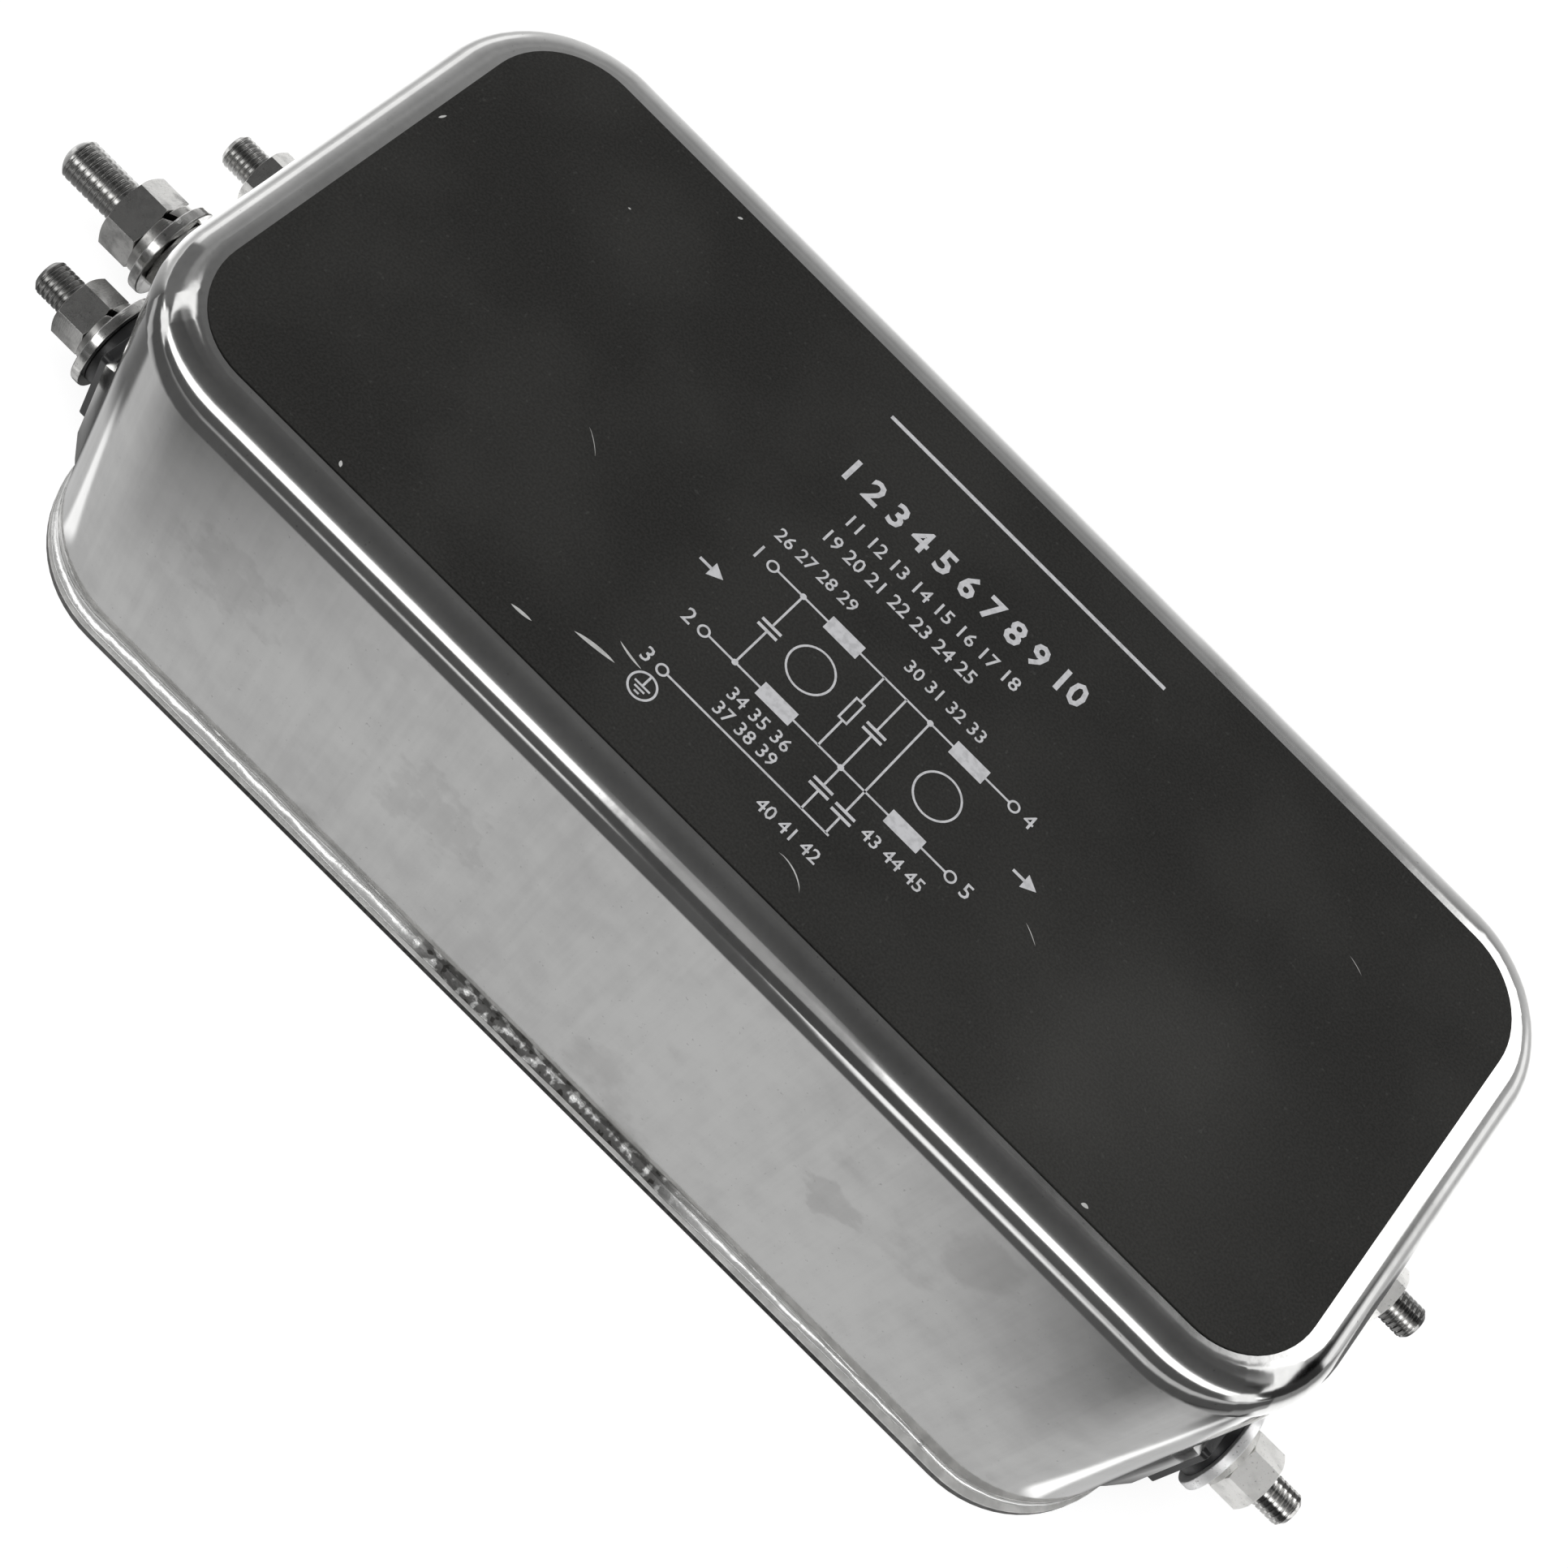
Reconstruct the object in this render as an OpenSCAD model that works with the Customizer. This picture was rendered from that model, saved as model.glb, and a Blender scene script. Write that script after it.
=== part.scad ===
// EMI line filter: drawn steel can on a soldered base plate, threaded studs at both ends,
// and a two-stage common-mode filter inside. +X is the load end, -X the line end, the base is at z = 0.

/* [Can] */
// Length of the can over its end walls
can_l = 180; // [178:1:210]
// Width of the can over its long sides
can_w = 80.4; // [78:0.2:96]
// Height of the can's top above the mounting face
can_h = 53.8; // [50:0.1:70]
// Outer radius of the can's upright corners
corner_r = 18; // [16:0.5:19]
// Outer radius of the drawn top edge
top_edge_r = 5; // [3:0.25:7]
// Sheet thickness of the can
wall_t = 1; // [0.8:0.1:1.2]

/* [End panels] */
// How far the pressed panel stands out of the end wall
panel_h = 2; // [1.2:0.1:2.4]
// Half width of the flat of the pressed panel
panel_half_w = 25; // [24:0.1:25.2]
// Height of the lower edge of the panel's flat
panel_low = 4.2; // [3.6:0.1:4.2]
// Height of the upper edge of the panel's flat
panel_high = 20.3; // [20:0.1:24]
// Run of the panel's upper slope for each millimetre of height
panel_slope = 1.75; // [1:0.05:1.75]

/* [Base] */
// Thickness of the base plate
plate_t = 1.3; // [1:0.1:1.6]
// Width of the ledge that the base plate forms round the can
ledge_w = 1.7; // [1.3:0.1:2.4]
// Leg of the solder fillet between the can and the ledge
bead_leg = 1.3; // [0.5:0.1:1.3]
// Distance of the mounting holes from the can's end walls
mount_inset_x = 20; // [17:0.5:22]
// Distance of the mounting holes from the can's long sides
mount_inset_y = 10.2; // [9.2:0.1:11.2]
// Thread bore of the press-in mounting nuts
mount_bore_d = 4.2; // [3.3:0.1:5]
// Diameter of the flange of the press-in mounting nuts
mount_nut_d = 9.5; // [9:0.5:10]
// Height of the press-in mounting nuts above the base plate
mount_nut_h = 5; // [4:0.5:7]
// Wall of the shank of the press-in mounting nuts
mount_shank_wall = 1.4; // [1:0.1:1.6]
// Thickness of the insulating sheet on the base plate
sheet_t = 0.5; // [0.3:0.1:0.8]

/* [Label] */
// Length of the rating label
label_l = 168; // [150:1:168]
// Width of the rating label
label_w = 68.4; // [60:0.2:68.4]
// Corner radius of the rating label
label_r = 11.2; // [4:0.2:12]
// Thickness of the rating label
label_t = 0.3; // [0.2:0.1:0.6]

/* [Line and load terminals] */
// Distance of the line and load studs from the centre line
stud_y = 16.7; // [16.5:0.1:16.8]
// Height of the line and load studs above the mounting face
stud_z = 12.1; // [12:0.1:12.8]
// Thread diameter of the line and load studs
stud_d = 5; // [4.5:0.1:5]
// Reach of the line and load studs beyond the end wall
stud_reach = 18; // [16:0.5:26]
// Width across the flats of the line and load nuts
nut_af = 8; // [7:0.5:9]
// Thickness of the line and load nuts
nut_h = 4.7; // [4:0.1:4.8]
// Outer diameter of the line and load flat washers
washer_d = 13.8; // [10:0.2:14]
// Thickness of the line and load flat washers
washer_t = 1.4; // [0.8:0.1:1.4]
// Outer diameter of the line and load spring washers
spring_d = 9.2; // [8:0.2:10]
// Thickness of the line and load spring washers
spring_t = 1.4; // [1:0.1:1.5]
// Side of the square flange of the outer bushings
bushing_side = 14; // [12:0.2:14]
// Thickness of the flange of the outer bushings
bushing_flange_t = 1.6; // [1:0.1:2]
// Diameter of the round boss on the outer bushings
bushing_boss_d = 11.6; // [10:0.2:13]
// Height of the round boss on the outer bushings
bushing_boss_h = 1.8; // [1:0.1:2]
// Diameter of the spigot that fills the wall hole
bushing_spigot_d = 9; // [7:0.2:10]
// Thickness of the inner insulating washers
inner_bushing_t = 2; // [1:0.1:2.5]

/* [Earth terminal] */
// Height of the earth stud above the mounting face
earth_z = 10.1; // [10.1:0.1:12]
// Thread diameter of the earth stud
earth_d = 6; // [5:0.1:6]
// Reach of the earth stud beyond the end wall
earth_reach = 30; // [26:0.5:40]
// Width across the flats of the earth nut and spacer
earth_af = 10; // [9:0.5:10.5]
// Thickness of the earth nut
earth_nut_h = 5.2; // [4:0.1:5.5]
// Length of the hexagonal earth spacer
earth_spacer_h = 9.4; // [6:0.2:10]
// Outer diameter of the earth flat washer
earth_washer_d = 13.8; // [11:0.2:14]
// Thickness of the earth flat washer
earth_washer_t = 1.5; // [1:0.1:1.6]
// Outer diameter of the earth spring washer
earth_spring_d = 11; // [9:0.2:11.6]
// Thickness of the earth spring washer
earth_spring_t = 1.6; // [1.2:0.1:1.8]

/* [Chokes] */
// Outer radius of the core case
case_r = 24; // [22:0.25:24.5]
// Radius of the bore of the core case
case_bore_r = 12; // [11.8:0.1:13]
// Height of the core case
case_h = 30; // [20:0.5:32]
// Wall of the core case
case_wall = 0.8; // [0.6:0.1:1.2]
// Diameter of the winding wire
wire_d = 2.2; // [1.6:0.1:2.2]
// Turns of each winding
turns = 11; // [6:1:11]
// Angle between the centre line and the first turn
winding_start = 15; // [12:1:18]
// Thickness of the divider between the windings
divider_t = 1.2; // [0.8:0.1:1.6]

/* [Capacitors and wiring] */
// Thickness of the X capacitors
x_cap_t = 15; // [12:0.5:15]
// Length of the X capacitors
x_cap_l = 31.5; // [28:0.5:33]
// Height of the X capacitors
x_cap_h = 28; // [20:0.5:30]
// Lead spacing of the X capacitors
x_cap_pitch = 27.5; // [24:0.5:28]
// Diameter of the Y capacitors
y_cap_d = 9; // [7:0.5:10]
// Thickness of the Y capacitors
y_cap_t = 4; // [3:0.1:5]
// Gap between the middle X capacitor's end and the Y capacitors
y_cap_gap = 3.75; // [2:0.25:5]
// Height of the centre of the Y capacitors
y_cap_z = 15; // [12:0.5:20]
// Diameter of the bleed resistor
resistor_d = 3.6; // [2.4:0.2:4]
// Length of the body of the bleed resistor
resistor_l = 7; // [5:0.5:7.5]
// Diameter of the component leads
lead_d = 1; // [0.6:0.1:1.2]
// Thickness of the copper bars
bar_t = 1; // [0.8:0.1:1.5]
// Width of the copper bars
bar_w = 8; // [6:0.5:8]
// Width of the narrow arms of the copper bars
arm_w = 5; // [3:0.5:5]
// Clear height between the winding and the copper bars
bar_clearance = 4; // [3:0.5:6]

/* [Fits] */
// Radial clearance of washers and bushings on their studs
stud_clearance = 0.15; // [0.1:0.05:0.3]
// Radius that a stud's thread loses where a nut, washer or bushing covers it
thread_relief = 0.3; // [0.2:0.05:0.4]
// Radial clearance between a nut's bore and the relieved thread
nut_clearance = 0.05; // [0.02:0.01:0.1]
// Radial clearance round the shanks of the press-in mounting nuts
press_clearance = 0.02; // [0.01:0.01:0.05]
// Gap between a winding and what it lies on
seat_gap = 0.15; // [0.05:0.05:0.3]
// Gap between neighbouring components in the can
part_gap = 1.5; // [1:0.1:2]

/* [Hidden] */
$fn = 64;

LINE = -1;
LOAD = 1;
P = -1;
N = 1;

// terminal stack, measured outwards from the plane of the end wall
stack_root = panel_h - wall_t;
bushing_face = panel_h + bushing_flange_t + bushing_boss_h;
washer_face = bushing_face + washer_t;
spring_face = washer_face + spring_t;
nut_face = spring_face + nut_h;
stud_chamfer = stud_d / 8;

// the same stack carried inwards from the inner face of the panel
inner_washer_t = 1;
inner_bushing_d = bushing_side - 0.6;
inner_bushing_face = stack_root - inner_bushing_t;
inner_washer_face = inner_bushing_face - inner_washer_t;
bar_face = inner_washer_face - bar_t;
inner_nut_face = bar_face - nut_h;
stud_tail = 1.5;
stud_inner_end = inner_nut_face - stud_tail;

// earth stack
earth_spacer_face = panel_h + earth_spacer_h;
earth_washer_face = earth_spacer_face + earth_washer_t;
earth_spring_face = earth_washer_face + earth_spring_t;
earth_nut_face = earth_spring_face + earth_nut_h;
earth_inner_washer_d = earth_washer_d - 2.8;
earth_inner_washer_face = stack_root - inner_washer_t;
earth_inner_nut_face = earth_inner_washer_face - earth_nut_h;
earth_inner_end = earth_inner_nut_face - stud_tail;

// the panel's lower slope ends on top of the solder seam
panel_foot_z = plate_t + bead_leg;
panel_foot_slope = (panel_low - panel_foot_z) / panel_h;

// how far a cutting shape reaches past the faces it cuts
past = 1;

// heights inside the can
floor_z = plate_t + sheet_t;
winding_z = floor_z + seat_gap;
case_z = winding_z + wire_d + seat_gap;
lid_t = 1;
core_gap = 0.1;
bar_z = case_z + case_h + seat_gap + wire_d + bar_clearance;

// radii of the winding's centre line
winding_out_r = case_r + seat_gap + wire_d / 2;
winding_in_r = case_bore_r - seat_gap - wire_d / 2;
winding_edge_r = winding_out_r + wire_d / 2;
winding_bend_r = wire_d / 2 + 3 * seat_gap;

// places along the can, counted from the inner end of the line studs
line_cap_clear = 6;
line_cap_x = -can_l / 2 - stud_inner_end + line_cap_clear + x_cap_t / 2;
line_choke_x = line_cap_x + x_cap_t / 2 + part_gap + winding_edge_r;
middle_cap_x = line_choke_x + winding_edge_r + part_gap + x_cap_t / 2;
load_choke_x = middle_cap_x + x_cap_t / 2 + part_gap + winding_edge_r;

// leads of a winding, from the centre of its choke
lead_dx = winding_out_r * cos(winding_start);
lead_y = winding_out_r * sin(winding_start);

y_cap_y = x_cap_l / 2 + y_cap_gap + y_cap_d / 2;

// press-in mounting nuts
mount_pitch_x = can_l - 2 * mount_inset_x;
mount_pitch_y = can_w - 2 * mount_inset_y;
mount_shank_d = mount_bore_d + 2 * mount_shank_wall;
sheet_hole_gap = 0.5;

module rounded_rectangle(l, w, r) {
    square([l - 2 * r, w], center = true);
    square([l, w - 2 * r], center = true);
    for (sx = [-1, 1], sy = [-1, 1])
        translate([sx * (l / 2 - r), sy * (w / 2 - r)]) circle(r);
}

// carries a section round a box with round corners; x = 0 of the section is the box's outer face
module swept_round_box(l, w, r) {
    for (turn = [0, 180]) rotate(turn) {
        translate([l / 2, w / 2 - r, 0]) rotate([90, 0, 0]) linear_extrude(w - 2 * r) children();
        rotate(90) translate([w / 2, l / 2 - r, 0]) rotate([90, 0, 0]) linear_extrude(l - 2 * r) children();
        translate([l / 2 - r, w / 2 - r, 0]) rotate_extrude(angle = 90) translate([r, 0]) children();
        translate([l / 2 - r, r - w / 2, 0]) rotate(-90)
            rotate_extrude(angle = 90) translate([r, 0]) children();
    }
}

// local +Z points outwards from the chosen end wall, and local z = 0 lies in its outer face
module at_end(end, y, z) {
    translate([end * can_l / 2, y, z]) rotate([0, end * 90, 0]) children();
}

module at_terminals() {
    for (end = [LINE, LOAD], side = [P, N]) at_end(end, side * stud_y, stud_z) children();
}

module washer(outer_d, inner_d, t) {
    difference() {
        cylinder(h = t, d = outer_d);
        translate([0, 0, -past]) cylinder(h = t + 2 * past, d = inner_d);
    }
}

// spring washer, pressed flat, with its slanted split
module spring_washer(outer_d, inner_d, t, split = 1) {
    difference() {
        washer(outer_d, inner_d, t);
        translate([outer_d / 2, 0, t / 2]) rotate([30, 0, 0]) cube([outer_d, split, 4 * t], center = true);
    }
}

// hexagonal nut or spacer for a thread of diameter d, chamfered at both faces
module hex_body(af, h, d) {
    corner = af / sqrt(3);
    chamfer = 0.45 * (corner - af / 2);
    difference() {
        intersection() {
            cylinder(h = h, r = corner, $fn = 6);
            rotate_extrude() polygon([
                [0, 0], [af / 2, 0], [corner, chamfer], [corner, h - chamfer], [af / 2, h], [0, h]
            ]);
        }
        translate([0, 0, -past]) cylinder(h = h + 2 * past, r = d / 2 - thread_relief + nut_clearance);
    }
}

// threaded stud: relieved by thread_relief below `free_from`, at full diameter beyond it
module stud(d, inner_end, free_from, reach, chamfer) {
    translate([0, 0, inner_end]) cylinder(h = free_from - inner_end, r = d / 2 - thread_relief);
    translate([0, 0, free_from]) cylinder(h = reach - chamfer - free_from, d = d);
    translate([0, 0, reach - chamfer]) cylinder(h = chamfer, r1 = d / 2, r2 = d / 2 - chamfer);
}

// outer wall of the can with its drawn top edge
module can_wall_section() {
    translate([-wall_t, plate_t]) square([wall_t, can_h - top_edge_r - plate_t]);
    translate([-top_edge_r, can_h - top_edge_r]) intersection() {
        difference() {
            circle(top_edge_r);
            circle(top_edge_r - wall_t);
        }
        square(top_edge_r);
    }
}

// pressed panel of an end wall: sloped on all sides, from `root` inside the wall to `top` outside it
module panel_block(top, root, trim) {
    half_w = panel_half_w - trim;
    low = panel_low + trim;
    high = panel_high - trim;
    rise = top - root;
    intersection() {
        translate([0, 0, panel_foot_z]) linear_extrude(can_h / 2) polygon([
            [root, -half_w - rise], [top, -half_w], [top, half_w], [root, half_w + rise]
        ]);
        translate([0, can_w / 2, 0]) rotate([90, 0, 0]) linear_extrude(can_w) polygon([
            [root, low - rise * panel_foot_slope], [top, low],
            [top, high], [root, high + rise * panel_slope]
        ]);
    }
}

module can() {
    bore_trim = 0.4 * wall_t;
    color("silver") difference() {
        union() {
            swept_round_box(can_l, can_w, corner_r) can_wall_section();
            translate([0, 0, can_h - wall_t]) linear_extrude(wall_t)
                rounded_rectangle(can_l - 2 * top_edge_r, can_w - 2 * top_edge_r, corner_r - top_edge_r);
            for (end = [LINE, LOAD])
                rotate(end == LOAD ? 0 : 180) translate([can_l / 2, 0, 0])
                    panel_block(panel_h, -wall_t, 0);
        }
        for (end = [LINE, LOAD])
            rotate(end == LOAD ? 0 : 180) translate([can_l / 2, 0, 0])
                panel_block(panel_h - wall_t, -2 * wall_t, bore_trim);
        at_terminals() cylinder(h = 4 * panel_h, d = bushing_spigot_d + 2 * stud_clearance, center = true);
        at_end(LINE, 0, earth_z) cylinder(h = 4 * panel_h, d = earth_d + 2 * stud_clearance, center = true);
    }
}

module at_mounting_nuts() {
    for (sx = [-1, 1], sy = [-1, 1])
        translate([sx * mount_pitch_x / 2, sy * mount_pitch_y / 2, 0]) children();
}

module base_plate() {
    color("silver") difference() {
        linear_extrude(plate_t)
            rounded_rectangle(can_l + 2 * ledge_w, can_w + 2 * ledge_w, corner_r + ledge_w);
        at_mounting_nuts() translate([0, 0, -past])
            cylinder(h = plate_t + 2 * past, d = mount_shank_d + 2 * press_clearance);
    }
}

module solder_seam() {
    color("gainsboro") swept_round_box(can_l, can_w, corner_r)
        polygon([[0, plate_t], [bead_leg, plate_t], [0, plate_t + bead_leg]]);
}

module mounting_nuts() {
    color("lightgray") at_mounting_nuts() difference() {
        union() {
            cylinder(h = plate_t, d = mount_shank_d);
            translate([0, 0, plate_t]) cylinder(h = mount_nut_h, d = mount_nut_d);
        }
        translate([0, 0, -past]) cylinder(h = plate_t + mount_nut_h + 2 * past, d = mount_bore_d);
    }
}

module rating_label() {
    color([0.18, 0.18, 0.19]) translate([0, 0, can_h]) linear_extrude(label_t)
        rounded_rectangle(label_l, label_w, label_r);
}

module base_insulation_sheet() {
    edge = wall_t + part_gap;
    color("tan") difference() {
        translate([0, 0, plate_t]) linear_extrude(sheet_t)
            rounded_rectangle(can_l - 2 * edge, can_w - 2 * edge, corner_r - edge);
        at_mounting_nuts() cylinder(h = 2 * floor_z, r = mount_nut_d / 2 + sheet_hole_gap);
        for (side = [P, N]) translate([middle_cap_x, side * y_cap_y, 0])
            cylinder(h = 2 * floor_z, r = lead_d / 2 + sheet_hole_gap);
    }
}

module bushing(end, side) {
    color([0.12, 0.12, 0.13]) at_end(end, side * stud_y, stud_z) difference() {
        union() {
            translate([0, 0, stack_root]) cylinder(h = wall_t, d = bushing_spigot_d);
            translate([0, 0, panel_h]) linear_extrude(bushing_flange_t)
                rounded_rectangle(bushing_side, bushing_side, 1);
            translate([0, 0, panel_h + bushing_flange_t]) cylinder(h = bushing_boss_h, d = bushing_boss_d);
        }
        cylinder(h = 4 * bushing_face, d = stud_d + 2 * stud_clearance, center = true);
    }
}

module inner_bushing(end, side) {
    color([0.12, 0.12, 0.13]) at_end(end, side * stud_y, stud_z) translate([0, 0, inner_bushing_face])
        washer(inner_bushing_d, stud_d + 2 * stud_clearance, inner_bushing_t);
}

module terminal_stud(end, side) {
    color("darkgray") at_end(end, side * stud_y, stud_z)
        stud(stud_d, stud_inner_end, nut_face, stud_reach, stud_chamfer);
}

// the earth stud's end is turned to a dome
module earth_stud() {
    dome = earth_d / 4;
    dome_r = (pow(earth_d / 2, 2) + pow(dome, 2)) / (2 * dome);
    color("darkgray") at_end(LINE, 0, earth_z) {
        translate([0, 0, earth_inner_end])
            cylinder(h = earth_nut_face - earth_inner_end, r = earth_d / 2 - thread_relief);
        translate([0, 0, earth_nut_face]) cylinder(h = earth_reach - dome - earth_nut_face, d = earth_d);
        intersection() {
            translate([0, 0, earth_reach - dome_r]) sphere(dome_r);
            translate([0, 0, earth_reach - dome]) cylinder(h = 2 * dome, d = earth_d);
        }
    }
}

module terminal_flat_washers() {
    color("silver") at_terminals() translate([0, 0, bushing_face])
        washer(washer_d, stud_d + 2 * stud_clearance, washer_t);
}

module terminal_spring_washers() {
    color("gray") at_terminals() translate([0, 0, washer_face])
        spring_washer(spring_d, stud_d + 2 * stud_clearance, spring_t);
}

module terminal_nuts() {
    color("darkgray") at_terminals() translate([0, 0, spring_face]) hex_body(nut_af, nut_h, stud_d);
}

module inner_flat_washers() {
    color("silver") at_terminals() translate([0, 0, inner_washer_face])
        washer(bushing_side - 3, stud_d + 2 * stud_clearance, inner_washer_t);
}

module inner_nuts() {
    color("darkgray") at_terminals() translate([0, 0, inner_nut_face]) hex_body(nut_af, nut_h, stud_d);
}

module earth_spacer() {
    color("darkgray") at_end(LINE, 0, earth_z) translate([0, 0, panel_h]) rotate(30)
        hex_body(earth_af, earth_spacer_h, earth_d);
}

module earth_flat_washer() {
    color("silver") at_end(LINE, 0, earth_z) translate([0, 0, earth_spacer_face])
        washer(earth_washer_d, earth_d + 2 * stud_clearance, earth_washer_t);
}

module earth_spring_washer() {
    color("gray") at_end(LINE, 0, earth_z) translate([0, 0, earth_washer_face])
        spring_washer(earth_spring_d, earth_d + 2 * stud_clearance, earth_spring_t);
}

module earth_nut() {
    color("darkgray") at_end(LINE, 0, earth_z) translate([0, 0, earth_spring_face])
        hex_body(earth_af, earth_nut_h, earth_d);
}

module earth_inner_washer() {
    color("silver") at_end(LINE, 0, earth_z) translate([0, 0, earth_inner_washer_face])
        washer(earth_inner_washer_d, earth_d + 2 * stud_clearance, inner_washer_t);
}

module earth_inner_nut() {
    color("darkgray") at_end(LINE, 0, earth_z) translate([0, 0, earth_inner_nut_face])
        hex_body(earth_af, earth_nut_h, earth_d);
}

module choke_case(x) {
    color("steelblue") translate([x, 0, case_z]) difference() {
        cylinder(h = case_h - lid_t, r = case_r);
        translate([0, 0, -past]) cylinder(h = case_h + 2 * past, r = case_bore_r);
        translate([0, 0, case_wall]) difference() {
            cylinder(h = case_h, r = case_r - case_wall);
            translate([0, 0, -past]) cylinder(h = case_h + 2 * past, r = case_bore_r + case_wall);
        }
    }
}

module choke_case_lid(x) {
    color("steelblue") translate([x, 0, case_z + case_h - lid_t]) washer(2 * case_r, 2 * case_bore_r, lid_t);
}

module choke_core(x) {
    wall = case_wall + core_gap;
    color("dimgray") translate([x, 0, case_z + wall])
        washer(2 * (case_r - wall), 2 * (case_bore_r + wall), case_h - lid_t - wall - core_gap);
}

module choke_divider(x) {
    half = sqrt(pow(case_bore_r - core_gap, 2) - pow(divider_t / 2, 2));
    color("tan") translate([x - half, -divider_t / 2, case_z]) cube([2 * half, divider_t, case_h]);
}

// Centre line of one winding, as [radius, angle, height]. Each turn runs down the outside of the case,
// in under it, up its bore and out over it, with half the pitch on the way in and half on the way out.
BEND = [0, 45, 90];
function winding_line() =
    let (
        top = case_z + case_h + seat_gap + wire_d / 2,
        bottom = case_z - seat_gap - wire_d / 2,
        bend = winding_bend_r,
        pitch = (180 - 2 * winding_start) / turns
    )
    concat(
        [[winding_out_r, winding_start, bar_z]],
        [for (n = [0 : turns - 1], corner = [0 : 3], a = BEND)
            let (
                angle = winding_start + n * pitch,
                out = corner == 0 || corner == 3,
                low = corner == 0 || corner == 1,
                last = n == turns - 1 && corner == 3,
                swing = corner == 0 ? 270 - a : corner == 1 ? 270 + a - 90 : corner == 2 ? 180 - a : 90 - a,
                cx = out ? winding_out_r - bend : winding_in_r + bend,
                cz = low ? bottom + bend : top - bend,
                ring = corner == 0 ? 360 - a : corner == 1 ? 270 - a : corner == 2 ? 180 - a : 90 - a,
                share = corner == 0 ? 0 : corner == 3 ? 1 : 0.5
            )
            last
                ? [winding_out_r - bend + bend * sin(a), angle + pitch, top + bend - bend * cos(a)]
                : [cx + bend * cos(ring), angle + share * pitch, cz + bend * sin(ring)]
        ],
        [[winding_out_r, 180 - winding_start, bar_z]]
    );

function on_circle(p) = [p[0] * cos(p[1]), p[0] * sin(p[1]), p[2]];
function unit(v) = v / norm(v);

// A round wire along the winding's centre line: each ring lies square to the line
module winding_wire(sides = 8) {
    polar = winding_line();
    line = [for (p = polar) on_circle(p)];
    count = len(line);
    rings = [for (i = [0 : count - 1])
        let (
            ahead = i == count - 1 ? [0, 0, 1] : unit(line[i + 1] - line[i]),
            behind = i == 0 ? [0, 0, -1] : unit(line[i] - line[i - 1]),
            along = unit(ahead + behind),
            round_way = [-sin(polar[i][1]), cos(polar[i][1]), 0],
            u = unit(round_way - (round_way * along) * along),
            v = cross(along, u)
        )
        for (s = [0 : sides - 1]) line[i] + wire_d / 2 * (cos(360 * s / sides) * u + sin(360 * s / sides) * v)
    ];
    walls = [for (i = [0 : count - 2], s = [0 : sides - 1])
        let (a = i * sides + s, b = i * sides + (s + 1) % sides)
        [a, b, b + sides, a + sides]
    ];
    polyhedron(
        rings,
        concat(
            [[for (s = [sides - 1 : -1 : 0]) s]],
            walls,
            [[for (s = [0 : sides - 1]) (count - 1) * sides + s]]
        )
    );
}

module choke_winding(x, side) {
    color("peru") translate([x, 0, 0]) mirror([0, side == P ? 1 : 0, 0]) winding_wire();
}

module x_capacitor(x) {
    body_top = floor_z + x_cap_h;
    color("gold") translate([x, 0, 0]) {
        translate([-x_cap_t / 2, -x_cap_l / 2, floor_z]) cube([x_cap_t, x_cap_l, x_cap_h]);
        for (side = [P, N]) translate([0, side * x_cap_pitch / 2, body_top])
            cylinder(h = bar_z - body_top, d = lead_d);
    }
}

// disc capacitor standing on its lead, from the base plate up to the bar
module y_capacitor(side) {
    color("royalblue") translate([middle_cap_x, side * y_cap_y, 0]) {
        translate([0, 0, y_cap_z]) rotate([0, 90, 0]) cylinder(h = y_cap_t, d = y_cap_d, center = true);
        translate([0, 0, plate_t]) cylinder(h = bar_z - plate_t, d = lead_d);
    }
}

// lies across the two middle bars
module bleed_resistor() {
    lead_l = 2 * lead_y + arm_w / 2;
    color("tan") translate([middle_cap_x, 0, bar_z + bar_t + lead_d / 2]) rotate([90, 0, 0]) {
        cylinder(h = resistor_l, d = resistor_d, center = true);
        cylinder(h = lead_l, d = lead_d, center = true);
    }
}

// copper bar from a stud to the near leads of a choke; `inner_x` is where its arm takes the lead
module terminal_bar(end, side, inner_x) {
    wall_x = can_l / 2 + bar_face;
    tab_low = stud_z - bar_w / 2;
    reach = abs(inner_x - end * wall_x) + arm_w / 2;
    color("chocolate") difference() {
        mirror([end == LOAD ? 0 : 1, 0, 0]) mirror([0, side == P ? 1 : 0, 0]) {
            translate([wall_x, stud_y - bar_w / 2, tab_low]) cube([bar_t, bar_w, bar_z + bar_t - tab_low]);
            translate([wall_x - reach, stud_y - bar_w / 2, bar_z]) cube([reach, bar_w, bar_t]);
            translate([wall_x - reach, lead_y - arm_w / 2, bar_z]) cube([arm_w, stud_y - lead_y, bar_t]);
        }
        at_end(end, side * stud_y, stud_z) translate([0, 0, bar_face - past])
            cylinder(h = bar_t + 2 * past, d = stud_d + 2 * stud_clearance);
    }
}

module middle_bar(side) {
    from_x = line_choke_x + lead_dx - arm_w / 2;
    to_x = load_choke_x - lead_dx + arm_w / 2;
    color("chocolate") mirror([0, side == P ? 1 : 0, 0]) translate([0, 0, bar_z]) {
        translate([from_x, lead_y - arm_w / 2, 0]) cube([to_x - from_x, arm_w, bar_t]);
        translate([middle_cap_x - arm_w / 2, lead_y, 0]) cube([arm_w, y_cap_y + arm_w / 2 - lead_y, bar_t]);
    }
}

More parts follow.
